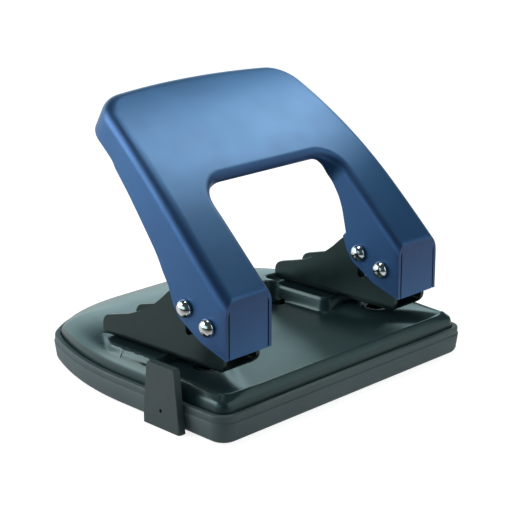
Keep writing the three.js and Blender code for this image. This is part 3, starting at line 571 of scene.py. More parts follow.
def lever_half(front):
    """Stations round the right half of the lever, from the front to the middle of the rear."""
    stations = []

    def side(along):
        angle = max(along, 0) / SIDE_BOW
        stations.append((LEVER_HALF - SIDE_BOW * (1 - math.cos(angle)), along,
                         (math.cos(angle), math.sin(angle))))

    # Each station lies level with the window's one after both folds, so that the strips run straight
    for _, along, out in window_half(front):
        level = along - out[1] * WINDOW_FOLD
        side(level + FOLD * max(level, 0) / SIDE_BOW)
    first_run = stations[-1][1]
    for step in range(1, CORNER_STEPS + 1):
        side(first_run + (SIDE_RUN - first_run) * step / CORNER_STEPS)
    x, along, out = stations[-1]
    cx, ca = x - REAR_CORNER * out[0], along - REAR_CORNER * out[1]
    first = SIDE_RUN / SIDE_BOW
    last = TURN / 4 - math.asin(cx / (REAR_BOW - REAR_CORNER))
    for step in range(1, CORNER_STEPS + 1):
        angle = first + (last - first) * step / CORNER_STEPS
        out = (math.cos(angle), math.sin(angle))
        stations.append((cx + REAR_CORNER * out[0], ca + REAR_CORNER * out[1], out))
    bow = ca - (REAR_BOW - REAR_CORNER) * math.sin(last)
    for step in range(1, CORNER_STEPS + 1):
        angle = last + (TURN / 4 - last) * step / CORNER_STEPS
        x = 0 if step == CORNER_STEPS else REAR_BOW * math.cos(angle)
        stations.append((x, bow + REAR_BOW * math.sin(angle), (x / REAR_BOW, math.sin(angle))))
    return stations


print("stations on half the outline:", len(lever_half(-30)))

# %% [markdown]
# The outside and the inside of the sheet share this outline, one sheet thickness apart. They are
# joined along the bottom of the flanges, which gives a closed thin shell.

# %% The lever's shell


def lever_shell(front, deep):
    """The outside and the inside skin, each folded down from its top, and the band between their ends."""
    points, faces, bases = [], [], []
    for skin, start in ((0, front), (LEVER_SHEET, front + 1)):
        right_side, right_window = lever_half(start), window_half(start)
        mirror = lambda stations: [(-x, a, (-o[0], o[1])) for x, a, o in stations]
        outer = right_side + mirror(right_side)[::-1][1:]
        inner = right_window + mirror(right_window)[::-1]
        loop = [(s, FOLD - skin) for s in outer] + [(s, WINDOW_FOLD - skin) for s in inner[::-1]]
        size, base = len(loop), len(points)
        bases.append(base)
        levels = [(i / FOLD_STEPS * TURN / 4, None) for i in range(FOLD_STEPS + 1)]
        levels += [(TURN / 4, deep / 2), (TURN / 4, deep)]
        for angle, depth in levels:
            for (x, along, out), radius in loop:
                inset = skin + radius * (1 - math.sin(angle))
                drop = skin + radius * (1 - math.cos(angle)) if depth is None else depth
                points.append(on_lever(x - out[0] * inset, along - out[1] * inset, drop))
        wall = []
        for level in range(len(levels) - 1):
            for i in range(size):
                a, b = base + level * size + i, base + level * size + (i + 1) % size
                wall.append((a, a + size, b + size, b))
        rows, middle = len(right_window), len(right_side) - 1
        across = lambda i: len(outer) - 1 - i
        left_edge = lambda i: len(outer) + i
        right_edge = lambda i: size - 1 - i
        cap = []
        for i in range(rows - 1):
            cap.append((i, i + 1, right_edge(i + 1), right_edge(i)))
            cap.append((across(i + 1), across(i), left_edge(i), left_edge(i + 1)))
        row = rows - 1
        cap.append((row, row + 1, across(row + 1), across(row), left_edge(row), right_edge(row)))
        for i in range(rows, middle):
            ring = [i, i + 1, across(i + 1), across(i)]
            cap.append(tuple(ring if i + 1 < middle else [i, i + 1, across(i)]))
        made = wall + [tuple(base + v for v in face) for face in cap]
        faces += made if skin == 0 else [face[::-1] for face in made]
    outer_last, inner_last = [base + (len(levels) - 1) * size for base in bases]
    faces += [(outer_last + i, inner_last + i, inner_last + (i + 1) % size, outer_last + (i + 1) % size)
              for i in range(size)]
    return piece("lever_pressing", points, faces)


lever = lever_shell(-(FORWARD + FOLD) - FLANGE, FLANGE + FOLD)
print("lever shell:", len(lever.data.vertices), "points")

# %% [markdown]
# Then the flanges are trimmed as the blank was: the legs go down past the fulcrum, the arms' lower
# edge runs back and up, and the window's flange narrows towards the rear. A smooth curve goes through
# the edge's points, because the real edge is one clean sweep.

# %% Trimmed edges


def sweep_through(points, steps=6):
    """A smooth curve through points."""
    curve = []
    for i in range(len(points) - 1):
        p = [Vector(points[max(0, min(len(points) - 1, i + k))]) for k in (-1, 0, 1, 2)]
        for step in range(steps):
            t = step / steps
            curve.append(tuple(0.5 * (
                2 * p[1] + (p[2] - p[0]) * t + (2 * p[0] - 5 * p[1] + 4 * p[2] - p[3]) * t * t
                + (3 * p[1] - p[0] - 3 * p[2] + p[3]) * t ** 3)))
    return curve + [tuple(points[-1])]


lever_side = lambda along, depth: on_lever(0, along, depth)[1:]
ARM_EDGE = [(2.31, 0.5), (1.67, 0.505), (1.5, 0.545), (1.18, 0.605), (0.73, 0.705), (0.52, 0.79)]
LEG_EDGE = [(1, 1.04), (0.87, 0.42), (0.72, 0.03), (0.19, -0.6)]
WINDOW_EDGE = [(0.39, 0.76), (0.48, 0.65), (0.57, 0.545), (0.67, 0.464), (0.78, 0.41), (0.88, 0.35),
               (0.95, 0.24), (1, 0.145)]
BEYOND = 60
high = lever_side(WINDOW_RUN + SIDE_RUN, 0)
arm = sweep_through([lever_side(a * WINDOW_RUN, d * FLANGE) for a, d in ARM_EDGE])
leg = [(rear * LEG_REAR, PIVOT_Z + up * LEG_DROP) for rear, up in LEG_EDGE]
foot = PIVOT_Z - LEG_DROP
kept = [(-LEG_FRONT, high[1]), (-LEG_FRONT, foot)] + leg[::-1] + arm[::-1] + [high]
window_low = lever_side(0.39 * WINDOW_RUN, 1.5 * FLANGE)
window_rear = [lever_side(1.12 * WINDOW_RUN, d * FLANGE) for d in (0.145, 1.5)]
edge = [lever_side(a * WINDOW_RUN, d * FLANGE) for a, d in WINDOW_EDGE]
window_cut = [window_low] + sweep_through(edge) + window_rear
lever = combine(lever, [prism("kept", kept, "x", -BEYOND, BEYOND)], "INTERSECT")
lever = combine(lever, [prism("window_cut", window_cut, "x", -PUNCH_X, PUNCH_X)], "DIFFERENCE")
print("trimmed lever:", len(lever.data.polygons), "faces")

# %% [markdown]
# Last come the two front flaps. The top sheet turns down into them over a soft bend, and a narrow
# slit parts them from the side flanges, so they are strips of their own between the flanges. They
# stand a hair proud of the flanges' front edges, because two faces in one plane would flicker. The
# holes for the two pins go through all flanges at once.

# %% Front flaps
FLAP_GAP = 0.5
BEND = 2.6
PROUD = 0.012
flap_face = -LEG_FRONT - PROUD
front_along = (FORWARD + flap_face) / math.cos(SLOPE)
top_corner = lever_side(front_along, 0)
flap_top = top_corner[1] - LEVER_SHEET
run_back = lever_side(front_along + 6, 0)
bend = round_off([(flap_face, foot), run_back, top_corner], [0, 0, BEND])
bend_arc = bend[2:]
outside_bend = [(flap_face - 3, bend_arc[-1][1]), (flap_face - 3, run_back[1] + 3)]
outside_bend += [(bend_arc[0][0], run_back[1] + 3)] + bend_arc
inset = LEVER_SHEET + FLAP_GAP
flaps, corners_off = [], []
for side in (1, -1):
    low, top = sorted((side * (WINDOW_HALF + inset), side * (LEVER_HALF - inset)))
    strip = oblong(flap_face, foot, LEVER_SHEET - LEG_FRONT, flap_top)
    flaps.append(prism("flap", strip, "x", low, top))
    corners_off.append(prism("corner", outside_bend, "x", low, top))
lever = combine(lever, flaps, "UNION")
lever = combine(lever, corners_off, "DIFFERENCE")
holes = [prism("hole", circle(radius, y, z, 32), "x", -BEYOND, BEYOND)
         for radius, y, z in ((1.8, 0, PIVOT_Z), (1.7, DRIVE_Y, PIVOT_Z + DRIVE_UP))]
lever = combine(lever, holes, "DIFFERENCE")
ease_edges(lever, 0.15)
print("lever with its flaps:", len(lever.data.polygons), "faces")

# %% [markdown]
# The enamel's painted fold shade needs to know where the folds are. A point's normal tells it: on the
# top it stands square to the sheet, on a flange it lies in the sheet's plane, and half way between the
# two is a fold. The painted shade is strongest on the front folds and fades to the rear.

# %% Where the sheet is folded, for the painted fold shade
normals = np.zeros(len(lever.data.vertices) * 3)
places = normals.copy()
lever.data.vertices.foreach_get("normal", normals)
lever.data.vertices.foreach_get("co", places)
normals, places = normals.reshape(-1, 3), places.reshape(-1, 3) / MM
runs = np.linspace(-2, SIDE_RUN + 20, 200)
slopes = SLOPE - np.maximum(runs - STRAIGHT, 0) / TOP_BOW
tilt = np.interp(places[:, 1], [on_lever(0, r, 0)[1] for r in runs], slopes)
up = normals[:, 1] * -np.sin(tilt) + normals[:, 2] * np.cos(tilt)
# Painted shade for the folds, strongest at the front folds and fading to the rear.
painted_fold_shade = np.clip(2 * up * np.sqrt(np.clip(1 - up * up, 0, 1)), 0, 1) ** 2
painted_fold_shade = painted_fold_shade * np.interp(places[:, 1], [-8, 20, 60], [0.75, 0.6, 0.25])
lever.data.attributes.new("bend", "FLOAT", "POINT").data.foreach_set("value", painted_fold_shade.astype(np.float32))
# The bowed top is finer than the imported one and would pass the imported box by 0.02 mm
for v in lever.data.vertices:
    v.co.z = min(v.co.z, float(cad_box[1][2]))
print("deepest fold:", round(float(painted_fold_shade.max()), 2))
dress(lever, blue_enamel, "lever", "lever")

# %% [markdown]
# ## Pin heads
# Each pin is riveted over into a low dome outside the flanges. A dome shows its facets at once in
# chrome, so it is turned with 64 sides and many steps, with a small flat land where it meets the sheet.

# %% Fulcrum and drive pins
HEAD = 2.9
HEAD_HIGH = 2.3
LAND = 0.3
head = dome(HEAD, HEAD_HIGH, 14)
for side, sign in SIDES:
    for kind, radius, y, z in (("fulcrum_pin", 1.5, 0, PIVOT_Z),
                               ("drive_pin", 1.4, DRIVE_Y, PIVOT_Z + DRIVE_UP)):
        length = LEVER_HALF - WINDOW_HALF + 2 * LAND
        profile = [(r, -h) for r, h in head[::-1]] + [(radius, 0), (radius, length)]
        profile += [(r, length + h) for r, h in head]
        pin = turned(f"{kind}_{side}_turned", profile, 64, (0, 0, 0))
        pin.data.transform(Matrix.Translation(Vector((sign * (WINDOW_HALF - LAND), y, z)) * MM)
                           @ Matrix.Rotation(sign * TURN / 4, 4, "Y"))
        pin.data.set_sharp_from_angle(angle=math.radians(40))
        dress(pin, chrome, "lever", f"{kind}_{side}")

# %% [markdown]
# ## Brackets
# Each bracket is a folded channel: a web riveted to the base and two walls that hold the fulcrum pin
# and let the drive pin through. It is cut from a channel by its side outline, as the blank was. The
# drive pin swings about the fulcrum, so the cutter stands midway in the swing, the slots are wide
# enough for it, and the paper's stop lies the standard 12 mm behind the cutter.

# %% Brackets
SHEET = 1.5
WIDE = 15.6
BOTTOM = 17
TOP = 23.4
FRONT = 4.4
REAR = 49.7
MARGIN = 12
SLOT_SIDE = 1.55
SLOT_END = 1.7
FULCRUM_HOLE = 1.65
CUTTER_HOLE = 3.15
RIVET_HOLE = 2.3
drive_radius = math.hypot(DRIVE_Y, DRIVE_UP)
cutter_y = (DRIVE_Y + drive_radius) / 2
slot_half = (drive_radius - DRIVE_Y) / 2 + SLOT_SIDE
stop_y = cutter_y + MARGIN
slot_low = PIVOT_Z - DRIVE_UP - SLOT_END
slot_high = PIVOT_Z + DRIVE_UP + SLOT_END
BACK = [(0.753, 0.43), (0.64, 0.53), (0.543, 0.645), (0.458, 0.78), (0.381, 0.925), (0.329, 0.985)]
rivet_places = (stop_y + 7.5, REAR - 7.9)
back_curve = sweep_through([(b * REAR, BOTTOM + u * TOP) for b, u in BACK], 4)
corners = [(-FRONT, BOTTOM), (REAR, BOTTOM), (REAR, BOTTOM + 6.8)] + back_curve
corners += [(cutter_y + slot_half, BOTTOM + TOP), (cutter_y - slot_half, BOTTOM + TOP),
            (-FRONT, PIVOT_Z + 5.4)]
bracket_side = round_off(corners, [4, SHEET, 3.5] + [0] * (len(back_curve) + 2) + [FRONT])


def channel(x, inset, front, rear, top):
    """A long channel that the side outline then cuts to its shape."""
    half = WIDE / 2 - inset
    radius = 3 - inset
    plan = round_off(oblong(x - half, BOTTOM + inset, x + half, top), [radius, radius, 0, 0])
    return prism("bracket_channel", plan, "y", front, rear)


for side, sign in SIDES:
    x = sign * PUNCH_X
    low, high = x - 9, x + 9
    hollow = channel(x, SHEET, -10, 56, BOTTOM + TOP + 4)
    bracket = combine(channel(x, 0, -8, 54, BOTTOM + TOP + 2), [hollow], "DIFFERENCE")
    bracket = combine(bracket, [prism("side", bracket_side, "x", low, high)], "INTERSECT")
    slot = round_off(oblong(cutter_y - slot_half, slot_low, cutter_y + slot_half, slot_high),
                     [slot_half - 0.3, slot_half - 0.3, 0, 0])
    tools = [prism("slot", slot, "x", low, high),
             prism("pivot", circle(FULCRUM_HOLE, 0, PIVOT_Z), "x", low, high)]
    tools += [prism("hole", circle(radius, x, y), "z", BOTTOM - 2, BOTTOM + SHEET + 2)
              for radius, y in [(CUTTER_HOLE, cutter_y)] + [(RIVET_HOLE, y) for y in rivet_places]]
    bracket = combine(bracket, tools, "DIFFERENCE")
    bracket.name = f"bracket_{side}_folded"
    ease_edges(bracket, 0.2)
    dress(bracket, black_enamel, "base", f"bracket_{side}")

# %% [markdown]
# ## Rivets
# Four zinc-plated rivets with low domes hold the webs to the pan's seats. Each is turned, with a wide
# foot under the pan's sheet, a shank through both sheets and its dome on the web.

# %% Bracket rivets
RIVET_HEAD = 3.4
RIVET_SHANK = 2
RIVET_FOOT, FOOT_TOP = 13.8, 15.2
ON_WEB = 18.8
rivet_profile = [(0, RIVET_FOOT), (RIVET_HEAD, RIVET_FOOT), (RIVET_HEAD, FOOT_TOP), (RIVET_SHANK, FOOT_TOP),
                 (RIVET_SHANK, ON_WEB)] + dome(RIVET_HEAD, 1.4, 10, foot=ON_WEB)
for side, sign in SIDES:
    for name, y in zip(("front", "rear"), rivet_places):
        rivet = turned(f"bracket_rivet_{side}_{name}_turned", rivet_profile, 48, (sign * PUNCH_X, y, 0))
        rivet.data.set_sharp_from_angle(angle=math.radians(40))
        dress(rivet, zinc_steel, "base", f"bracket_rivet_{side}_{name}")

# %% [markdown]
# ## Return springs
# A spring is one round wire wound about each cutter. It is swept along a helix with a round section.

# %% Return springs
ROD = 3
WIRE = 0.8
SPRING_TOP = 33.2
COILS, COIL_STEPS, WIRE_SIDES = 7, 32, 12
coil = ROD + 0.3 + WIRE / 2
count = COILS * COIL_STEPS
for side, sign in SIDES:
    x = sign * PUNCH_X
    middle = []
    for i in range(count + 1):
        turn = TURN * i / COIL_STEPS
        middle.append(Vector((x + coil * math.cos(turn), cutter_y + coil * math.sin(turn),
                              ON_WEB + WIRE / 2 + (SPRING_TOP - ON_WEB - WIRE) * i / count)))
    rings = []
    for i, point in enumerate(middle):
        ahead = (middle[min(i + 1, count)] - middle[max(i - 1, 0)]).normalized()
        across = Vector((0, 0, 1)).cross(ahead).normalized()
        over = ahead.cross(across)
        rings.append([tuple(point + (across * math.cos(turn) + over * math.sin(turn)) * WIRE / 2)
                      for turn in [TURN * k / WIRE_SIDES for k in range(WIRE_SIDES)]])
    spring = ring_stack(f"return_spring_{side}_wire", rings)
    spring.data.set_sharp_from_angle(angle=math.radians(60))
    dress(spring, spring_wire, "base", f"return_spring_{side}")
    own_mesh(spring)

# %% [markdown]
# ## The plan of the base
# The tray, the pan and the sunk table follow one outline: straight at the front, slightly tapering at
# the sides and swept in towards a round rear. Moving it in gives every ring that the pieces need.

# %% Base outline
TRAY_FRONT = 14.8
TRAY_REAR = 92.8
FRONT_HALF = 58.5
HAUNCH = (55.9, 55.9)
BASE_CORNERS = both_sides([(FRONT_HALF, -TRAY_FRONT), HAUNCH, (44.2, 80.1), (26.3, TRAY_REAR)])


def base_plan(inset, steps=12):
    """The outline of the base, moved in by the inset."""
    radii = [max(6.2 - inset, 3.1), 105 - inset, max(14 - inset, 0.3), 56 - inset]
    return round_off(move_in(BASE_CORNERS, inset), radii + radii[::-1], steps)


def base_side(y, inset=0):
    """The half width at y, along the straight part of the side."""
    return FRONT_HALF - inset - (FRONT_HALF - HAUNCH[0]) / (HAUNCH[1] + TRAY_FRONT) * (y + TRAY_FRONT)


print("base outline:", len(base_plan(0)), "points")

# %% [markdown]
# ## Chip tray
# The tray is a moulded tub with a rounded foot, a fine step below its lip and a ledge inside for the
# pan's skirt. Its wall is one profile of (inset, height), from the foot up over the lip and down
# inside, carried round the outline. The two end faces are its underside and its floor.

# %% Chip tray
FOOT = 2.5
FOOT_IN = 0.6
foot_arc = [(FOOT_IN + FOOT * (1 - math.sin(a)), FOOT * (1 - math.cos(a)))
            for a in [i / 8 * TURN / 4 for i in range(9)]]
step_and_lip = [(0.02, 6.75), (0.1, 6.88), (0.3, 6.98), (0.34, 7.2), (0.3, 7.3), (0.3, 8.85), (0.4, 9.1),
                (0.65, 9.2), (1.9, 9.2), (2.12, 9.12), (2.2, 8.9)]
inside = [(2.2, 7.9), (3.8, 7.5), (1.8, 4.7), (2.4, 4.1), (3.65, 1.6)]
tray = ring_stack("chip_tray_moulding", [[(x, y, z) for x, y in base_plan(depth)]
                                         for depth, z in foot_arc + step_and_lip + inside])
tray.data.set_sharp_from_angle(angle=math.radians(50))
dress(tray, slate_plastic, "tray", "chip_tray")

# %% [markdown]
# ## The table and the seats
# The base plate is pressed from flat sheet. Its paper table is sunk between the two seats, on which
# the brackets stand, and a narrow trench runs back beside each seat. Both are outlines in the plan. A
# corner that stands out gets a smaller radius when its outline moves in, and one that cuts in gets a
# larger one, so each radius is kept with its sign.

# %% Outlines of the table and the seats
TABLE_INSET = 4.4
TABLE_REAR = 47
TRENCH_REAR = 36
SEAT_IN, SEAT_OUT = 27.9, 51.8
SEAT_TAPER = 43
SEAT_REAR = REAR + 2
table_sides = [(base_side(y, TABLE_INSET), y) for y in (TABLE_INSET - TRAY_FRONT, TRENCH_REAR)]
TABLE_CORNERS = both_sides(table_sides + [(SEAT_OUT, TRENCH_REAR), (SEAT_OUT, stop_y), (SEAT_IN, stop_y),
                                          (SEAT_IN, TABLE_REAR)])
TABLE_RADII = [(4.5, 1), (0.9, 1), (0.9, 1), (3, -1), (3, -1), (4.5, 1)]


def table_plan(inset):
    """The outline of the sunk table, moved in by the inset."""
    radii = [max(radius - inset * sign, 0.25) for radius, sign in TABLE_RADII]
    return round_off(move_in(TABLE_CORNERS, inset), radii + radii[::-1], 8)


def seat_plan(inset, sign):
    """The outline of a bracket's seat, moved in by the inset."""
    corners = move_in([(SEAT_IN, stop_y), (SEAT_OUT, stop_y), (SEAT_OUT, SEAT_TAPER),
                       (SEAT_OUT - 5.3, SEAT_REAR), (SEAT_IN, SEAT_REAR)], inset)
    plan = round_off(corners, [3 - inset, 3 - inset, SEAT_REAR - SEAT_TAPER, 1, 3 - inset], 8)
    return plan if sign > 0 else [(-x, y) for x, y in plan[::-1]]


print("table outline:", len(table_plan(0)), "points, each seat:", len(seat_plan(0, 1)))

# %% [markdown]
# ## Distance and ramp
# A press tool leaves no sharp step: every wall of the pan is a soft ramp one or two millimetres wide.
# Two tools are enough to write such a wall: the signed distance from a place to an outline, and a ramp
# that goes smoothly from zero to one as the distance grows.

# %% Signed distance and a smooth ramp


def distance(points, outline):
    """Signed distance from points to a closed outline, above zero inside it."""
    p = np.asarray(points, float)[:, None, :]
    a = np.asarray(outline, float)
    b = np.roll(a, -1, axis=0)
    ab = b - a
    t = np.clip(((p - a) * ab).sum(2) / (ab * ab).sum(1), 0, 1)
    near = np.sqrt((((a + ab * t[..., None]) - p) ** 2).sum(2)).min(1)
    over = (a[:, 1] > p[..., 1]) != (b[:, 1] > p[..., 1])
    cross = a[:, 0] + (p[..., 1] - a[:, 1]) / np.where(ab[:, 1] == 0, 1, ab[:, 1]) * ab[:, 0]
    inside = (over & (p[..., 0] < cross)).sum(1) % 2 == 1
    return np.where(inside, near, -near)


def ramp(value, low, top):
    """Zero below low, one above top, with soft ends."""
    t = np.clip((value - low) / (top - low), 0, 1)
    return t * t * (3 - 2 * t)


print("from the middle of a square of 8 to its edge:", distance([(4, 4)], oblong(0, 0, 8, 8)))

# %% [markdown]
# ## The pan's height
# The top of a pressing is a height over each place of the plan, so it is written as a function. It
# rises from the skirt over a rounded rim to the crown, which falls to the rear. The seats are flat and
# the table is sunk. It rises to a shoulder under each bracket, where the dies sit: that slope starts
# 28.5 mm from the middle at the cutters, and further out and wider towards the front. Last, the two
# front corners fall a little, as on a pressing whose corners are drawn deeper.

# %% Height of the pressed pan
PAN_INSET = 2.5
SKIRT = 8.2
CROWN = 18.9
CROWN_FALL = 5.5
CORNER_FALL = 1.3
TABLE = 12.5
TABLE_RAMP = (-0.5, 1.6)
SHOULDER = 2.2
SEAT = 16.7
RIM_WIDE = 8.5
RIM = [(0, 0.206), (0.03, 0.32), (0.09, 0.44), (0.27, 0.617), (0.6, 0.766), (1, 0.87), (1.3, 0.92),
       (2.1, 0.975), (3.9, 1), (9, 1)]
rim_curve = sweep_through([(a * RIM_WIDE, b) for a, b in RIM], 8)


def trench_share(p):
    """One in the narrow trench beside each seat, zero on the table."""
    return ramp(p[:, 1], 16, 22) * ramp(np.abs(p[:, 0]), 47, 51.5)


def table_level(p):
    """The table's height: sunk in the middle, with a soft slope up to a shoulder under each bracket."""
    ahead = np.clip(cutter_y - p[:, 1], 0, 20.3)
    on_shoulder = ramp((np.abs(p[:, 0]) - 28.5 - 0.6 * ahead) / (7 + 0.3 * ahead), 0, 1)
    return TABLE + SHOULDER * on_shoulder * (1 - 0.15 * trench_share(p))


def pan_height(points):
    """The height of the pan's top over each place of the plan."""
    p = np.asarray(points, float)
    depth = distance(p, base_plan(PAN_INSET))
    up = np.interp(depth, [a for a, _ in rim_curve], [b for _, b in rim_curve])
    fall = CROWN_FALL * (np.maximum(p[:, 1] - TABLE_REAR, 0) / (TRAY_REAR - PAN_INSET - TABLE_REAR)) ** 2
    height = SKIRT + up * (CROWN - SKIRT) - up * fall
    for sign in (1, -1):
        on_seat = ramp(distance(p, seat_plan(0, sign)), -0.25, 0.75)
        height = height + (SEAT - height) * on_seat
    on_table = ramp(distance(p, table_plan(0)), TABLE_RAMP[0], TABLE_RAMP[1] - 0.9 * trench_share(p))
    on_table = on_table * (1 - trench_share(p) * ramp(p[:, 1], 19, TRENCH_REAR - 2.5))
    height = height + (table_level(p) - height) * on_table
    at_corner = ramp(np.abs(p[:, 0]), 42, 56) * (1 - ramp(p[:, 1], -12, 9))
    return height - CORNER_FALL * at_corner * ramp(depth, 0, 2)


print("height at the table and the crown:", pan_height([(0, 10), (0, 60)]).round(2))

# %% [markdown]
# ## The pan's mesh
# The mesh should follow the ramps, or they would show as ragged steps. So rings of the outline and
# rings beside every wall are laid down first, and so is the edge of every hole.

# %% Rings of the plan
RING_STEP = 1.5
DIE_HOLE = 4.8
MARGIN_X, MARGIN_Y, MARGIN_HOLE = 24.4, 40.8, 2.4
HOLES = [(sign * PUNCH_X, cutter_y, DIE_HOLE) for sign in (1, -1)]
HOLES += [(sign * MARGIN_X, MARGIN_Y, MARGIN_HOLE) for sign in (1, -1)]
HOLES += [(sign * PUNCH_X, y, RIVET_HOLE) for sign in (1, -1) for y in rivet_places]
plan, edges = [], []


def resample(loop, step):
    """The loop with points at most step apart."""
    out = []
    for i, (x, y) in enumerate(loop):
        nx, ny = loop[(i + 1) % len(loop)]
        cuts = max(1, math.ceil(math.hypot(nx - x, ny - y) / step))
        out += [(x + (nx - x) * k / cuts, y + (ny - y) * k / cuts) for k in range(cuts)]
    return out


def lay(loop, wanted=None):
    """Lays the wanted part of a closed loop into the plan."""
    loop = resample(loop, RING_STEP)
    chosen = wanted(np.array(loop)) if wanted else np.ones(len(loop), bool)
    where = {}
    for i, (point, is_chosen) in enumerate(zip(loop, chosen)):
        if is_chosen:
            where[i] = len(plan)
            plan.append(point)
    edges.extend((where[i], where[(i + 1) % len(loop)]) for i in where if (i + 1) % len(loop) in where)
    return len(loop)


table_line, seat_lines = table_plan(0), [seat_plan(0, sign) for sign in (1, -1)]
off_table = lambda p, room: distance(p, table_line) < -room
off_seats = lambda p, room: np.all([distance(p, line) < -room for line in seat_lines], axis=0)
outer_count = lay(base_plan(PAN_INSET, steps=20))
for d in (0.12, 0.3, 0.55, 0.85):
    lay(base_plan(PAN_INSET + d, steps=20))
for d in (1.3, 2, 3, 4.2, 5.6, 7.2, 9.2, 11.2):
    lay(base_plan(PAN_INSET + d, steps=20), lambda p: off_table(p, 1.0) & off_seats(p, 0.5))
for d in (-0.5, -0.2, 0.1, 0.4, 0.7, 1, 1.3, 1.6):
    lay(table_plan(d), lambda p, d=d: distance(p, table_line) > d - 0.05)
for sign in (1, -1):
    for d in (-0.25, 0, 0.25, 0.5, 0.75):
        lay(seat_plan(d, sign), lambda p: off_table(p, 0.8))
for x, y, r in HOLES:
    lay(circle(r, x, y))
print("laid down:", len(plan), "points")

# %% [markdown]
# A loose net of points fills the rest, and a Delaunay triangulation joins them all. The triangles
# inside a hole are dropped. Only then does each point get its height.

# %% Triangles and heights
NET_X, NET_Y = 1.3, 1.15
net = np.array([(x * NET_X + (y % 2) * NET_X / 2, y * NET_Y) for x in range(-45, 46) for y in range(-13, 80)])
net = net[distance(net, base_plan(PAN_INSET)) > 1.2]
laid = np.array(plan)
clear = np.array([((laid - p) ** 2).sum(1).min() > 0.45 for p in net])
flat = delaunay_2d_cdt([Vector(p) for p in plan] + [Vector(p) for p in net[clear]], edges,
                       [list(range(outer_count))], 1, 1e-4)
verts = np.array([tuple(v) for v in flat[0]])
tris = [tuple(f) for f in flat[2]]
centres = np.array([verts[list(f)].mean(0) for f in tris])
keep = np.ones(len(tris), bool)
for x, y, r in HOLES:
    keep &= np.hypot(centres[:, 0] - x, centres[:, 1] - y) > r * 0.995
tris = [f for f, k in zip(tris, keep) if k]
heights = pan_height(verts)
print("pan plan:", len(verts), "points,", len(tris), "triangles")

# %% [markdown]
# The edge of this surface is drawn down into the skirt. The extrude operator would return its parts in
# a new order each run, so the skirt's quads are hung on the rim one by one. A solidify modifier gives
# the sheet its thickness below, so the pan is hollow underneath as a pressing is.

# %% Skirt and sheet thickness
PAN_SHEET = 1.2
points = [(x, y, z) for (x, y), z in zip(verts, heights)]
pan = piece("base_plate_pressing", points, tris)
work = bmesh.new()
work.from_mesh(pan.data)
bmesh.ops.delete(work, geom=[v for v in work.verts if not v.link_faces], context="VERTS")
bmesh.ops.recalc_face_normals(work, faces=work.faces)
if sum(f.normal.z for f in work.faces) < 0:
    bmesh.ops.reverse_faces(work, faces=work.faces)
rim_edges = [e for e in work.edges if e.is_boundary and min(
    math.hypot(e.verts[0].co.x / MM - x, e.verts[0].co.y / MM - y) - r for x, y, r in HOLES) > 0.6]
hems = {}
for rim_edge in rim_edges:
    for v in rim_edge.verts:
        if v not in hems:
            hems[v] = work.verts.new((v.co.x, v.co.y, SKIRT * MM))
    a, b = rim_edge.verts
    work.faces.new((a, b, hems[b], hems[a]))
bmesh.ops.recalc_face_normals(work, faces=work.faces)
work.to_mesh(pan.data)
cut_edges = [e.index for e in work.edges if e.is_boundary]
work.free()
sheet = pan.modifiers.new("sheet", "SOLIDIFY")
sheet.thickness = PAN_SHEET * MM
sheet.offset = -1
pan.data.shade_smooth()
pan.data.set_sharp_from_angle(angle=math.radians(55))
for i in cut_edges:
    pan.data.edges[i].use_edge_sharp = True
dress(pan, pan_enamel, "base", "base_plate")

# %% [markdown]
# ## Dies
# A hardened ring sits in each shoulder, flush with it, and cuts the paper with the rod. Its edges are
# left keen, because a cutting edge is.

# %% Die rings
DIE_HALF = 4.5
DIE_FOOT = 9.9
die_top = TABLE + SHOULDER
ring_profile = oblong(CUTTER_HOLE, DIE_FOOT, DIE_HALF, die_top) + [(CUTTER_HOLE, DIE_FOOT)]
for side, sign in SIDES:
    die = turned(f"die_{side}_ring", ring_profile, 64, (sign * PUNCH_X, cutter_y, 0))
    die.data.set_sharp_from_angle(angle=math.radians(30))
    # Painted shade: the ring's near-black finish stands for the shadow under its bracket.
    dress(die, die_steel_painted_shade, "base", f"die_{side}")

# %% [markdown]
# ## Paper guide
# The guide is a moulded bar with an upright tab outside the tray. Its tab is cut from the plan and the
# side view, the bar's wide end is what stops it at the strap, and every edge is rounded as a
# moulding's is. A small dimple marks the tab's outside.

# %% Paper guide
GUIDE_FRONT, GUIDE_REAR = 3.6, 15.7
GUIDE_TOP = 20.4
GUIDE_THICK = 2.6
FLARE = 2.3
BAR_Y, BAR_END = 15.7, 50
BAR_LOW, BAR_HIGH = 9.5, 11
DIMPLE, DIMPLE_Y, DIMPLE_Z = 0.6, 9.65, 6
front_foot, rear_foot = GUIDE_FRONT - FLARE, GUIDE_REAR + FLARE
inner_face = lambda y: -base_side(y) - 0.3
plan_tab = round_off([(inner_face(front_foot), front_foot), (inner_face(rear_foot), rear_foot),
                      (inner_face(rear_foot) - GUIDE_THICK, rear_foot),
                      (inner_face(front_foot) - GUIDE_THICK, front_foot)], [0, 0, 0.9, 0.9])
face_tab = round_off([(front_foot, 0.3), (rear_foot, 0.3), (GUIDE_REAR, GUIDE_TOP), (GUIDE_FRONT, GUIDE_TOP)],
                     [0, 0, 0.9, 0.9])
guide = prism("paper_guide_moulding", plan_tab, "z", 0, 24)
guide = combine(guide, [prism("face", face_tab, "x", -70, -50)], "INTERSECT")
bar = prism("bar", oblong(BAR_Y - 1, BAR_LOW, BAR_Y + 1, BAR_HIGH), "x", inner_face(BAR_Y) - 1.7, BAR_END)
wide_end = prism("end", oblong(BAR_Y - 1, BAR_LOW, BAR_Y + 2.1, BAR_HIGH), "x", BAR_END - 3, BAR_END)
guide = combine(guide, [bar, wide_end], "UNION")
dimple_end = inner_face(DIMPLE_Y) - GUIDE_THICK + DIMPLE
guide = combine(guide, [prism("dimple", circle(DIMPLE, DIMPLE_Y, DIMPLE_Z, 24), "x", -70, dimple_end)],
                "DIFFERENCE")
ease_edges(guide, 0.25)
dress(guide, dark_plastic, "guide", "paper_guide")

# %% [markdown]
# ## Hidden pieces
# The rods, washers and straps keep their packed form, because it is already the real one. Each
# gets the finish of what it is.

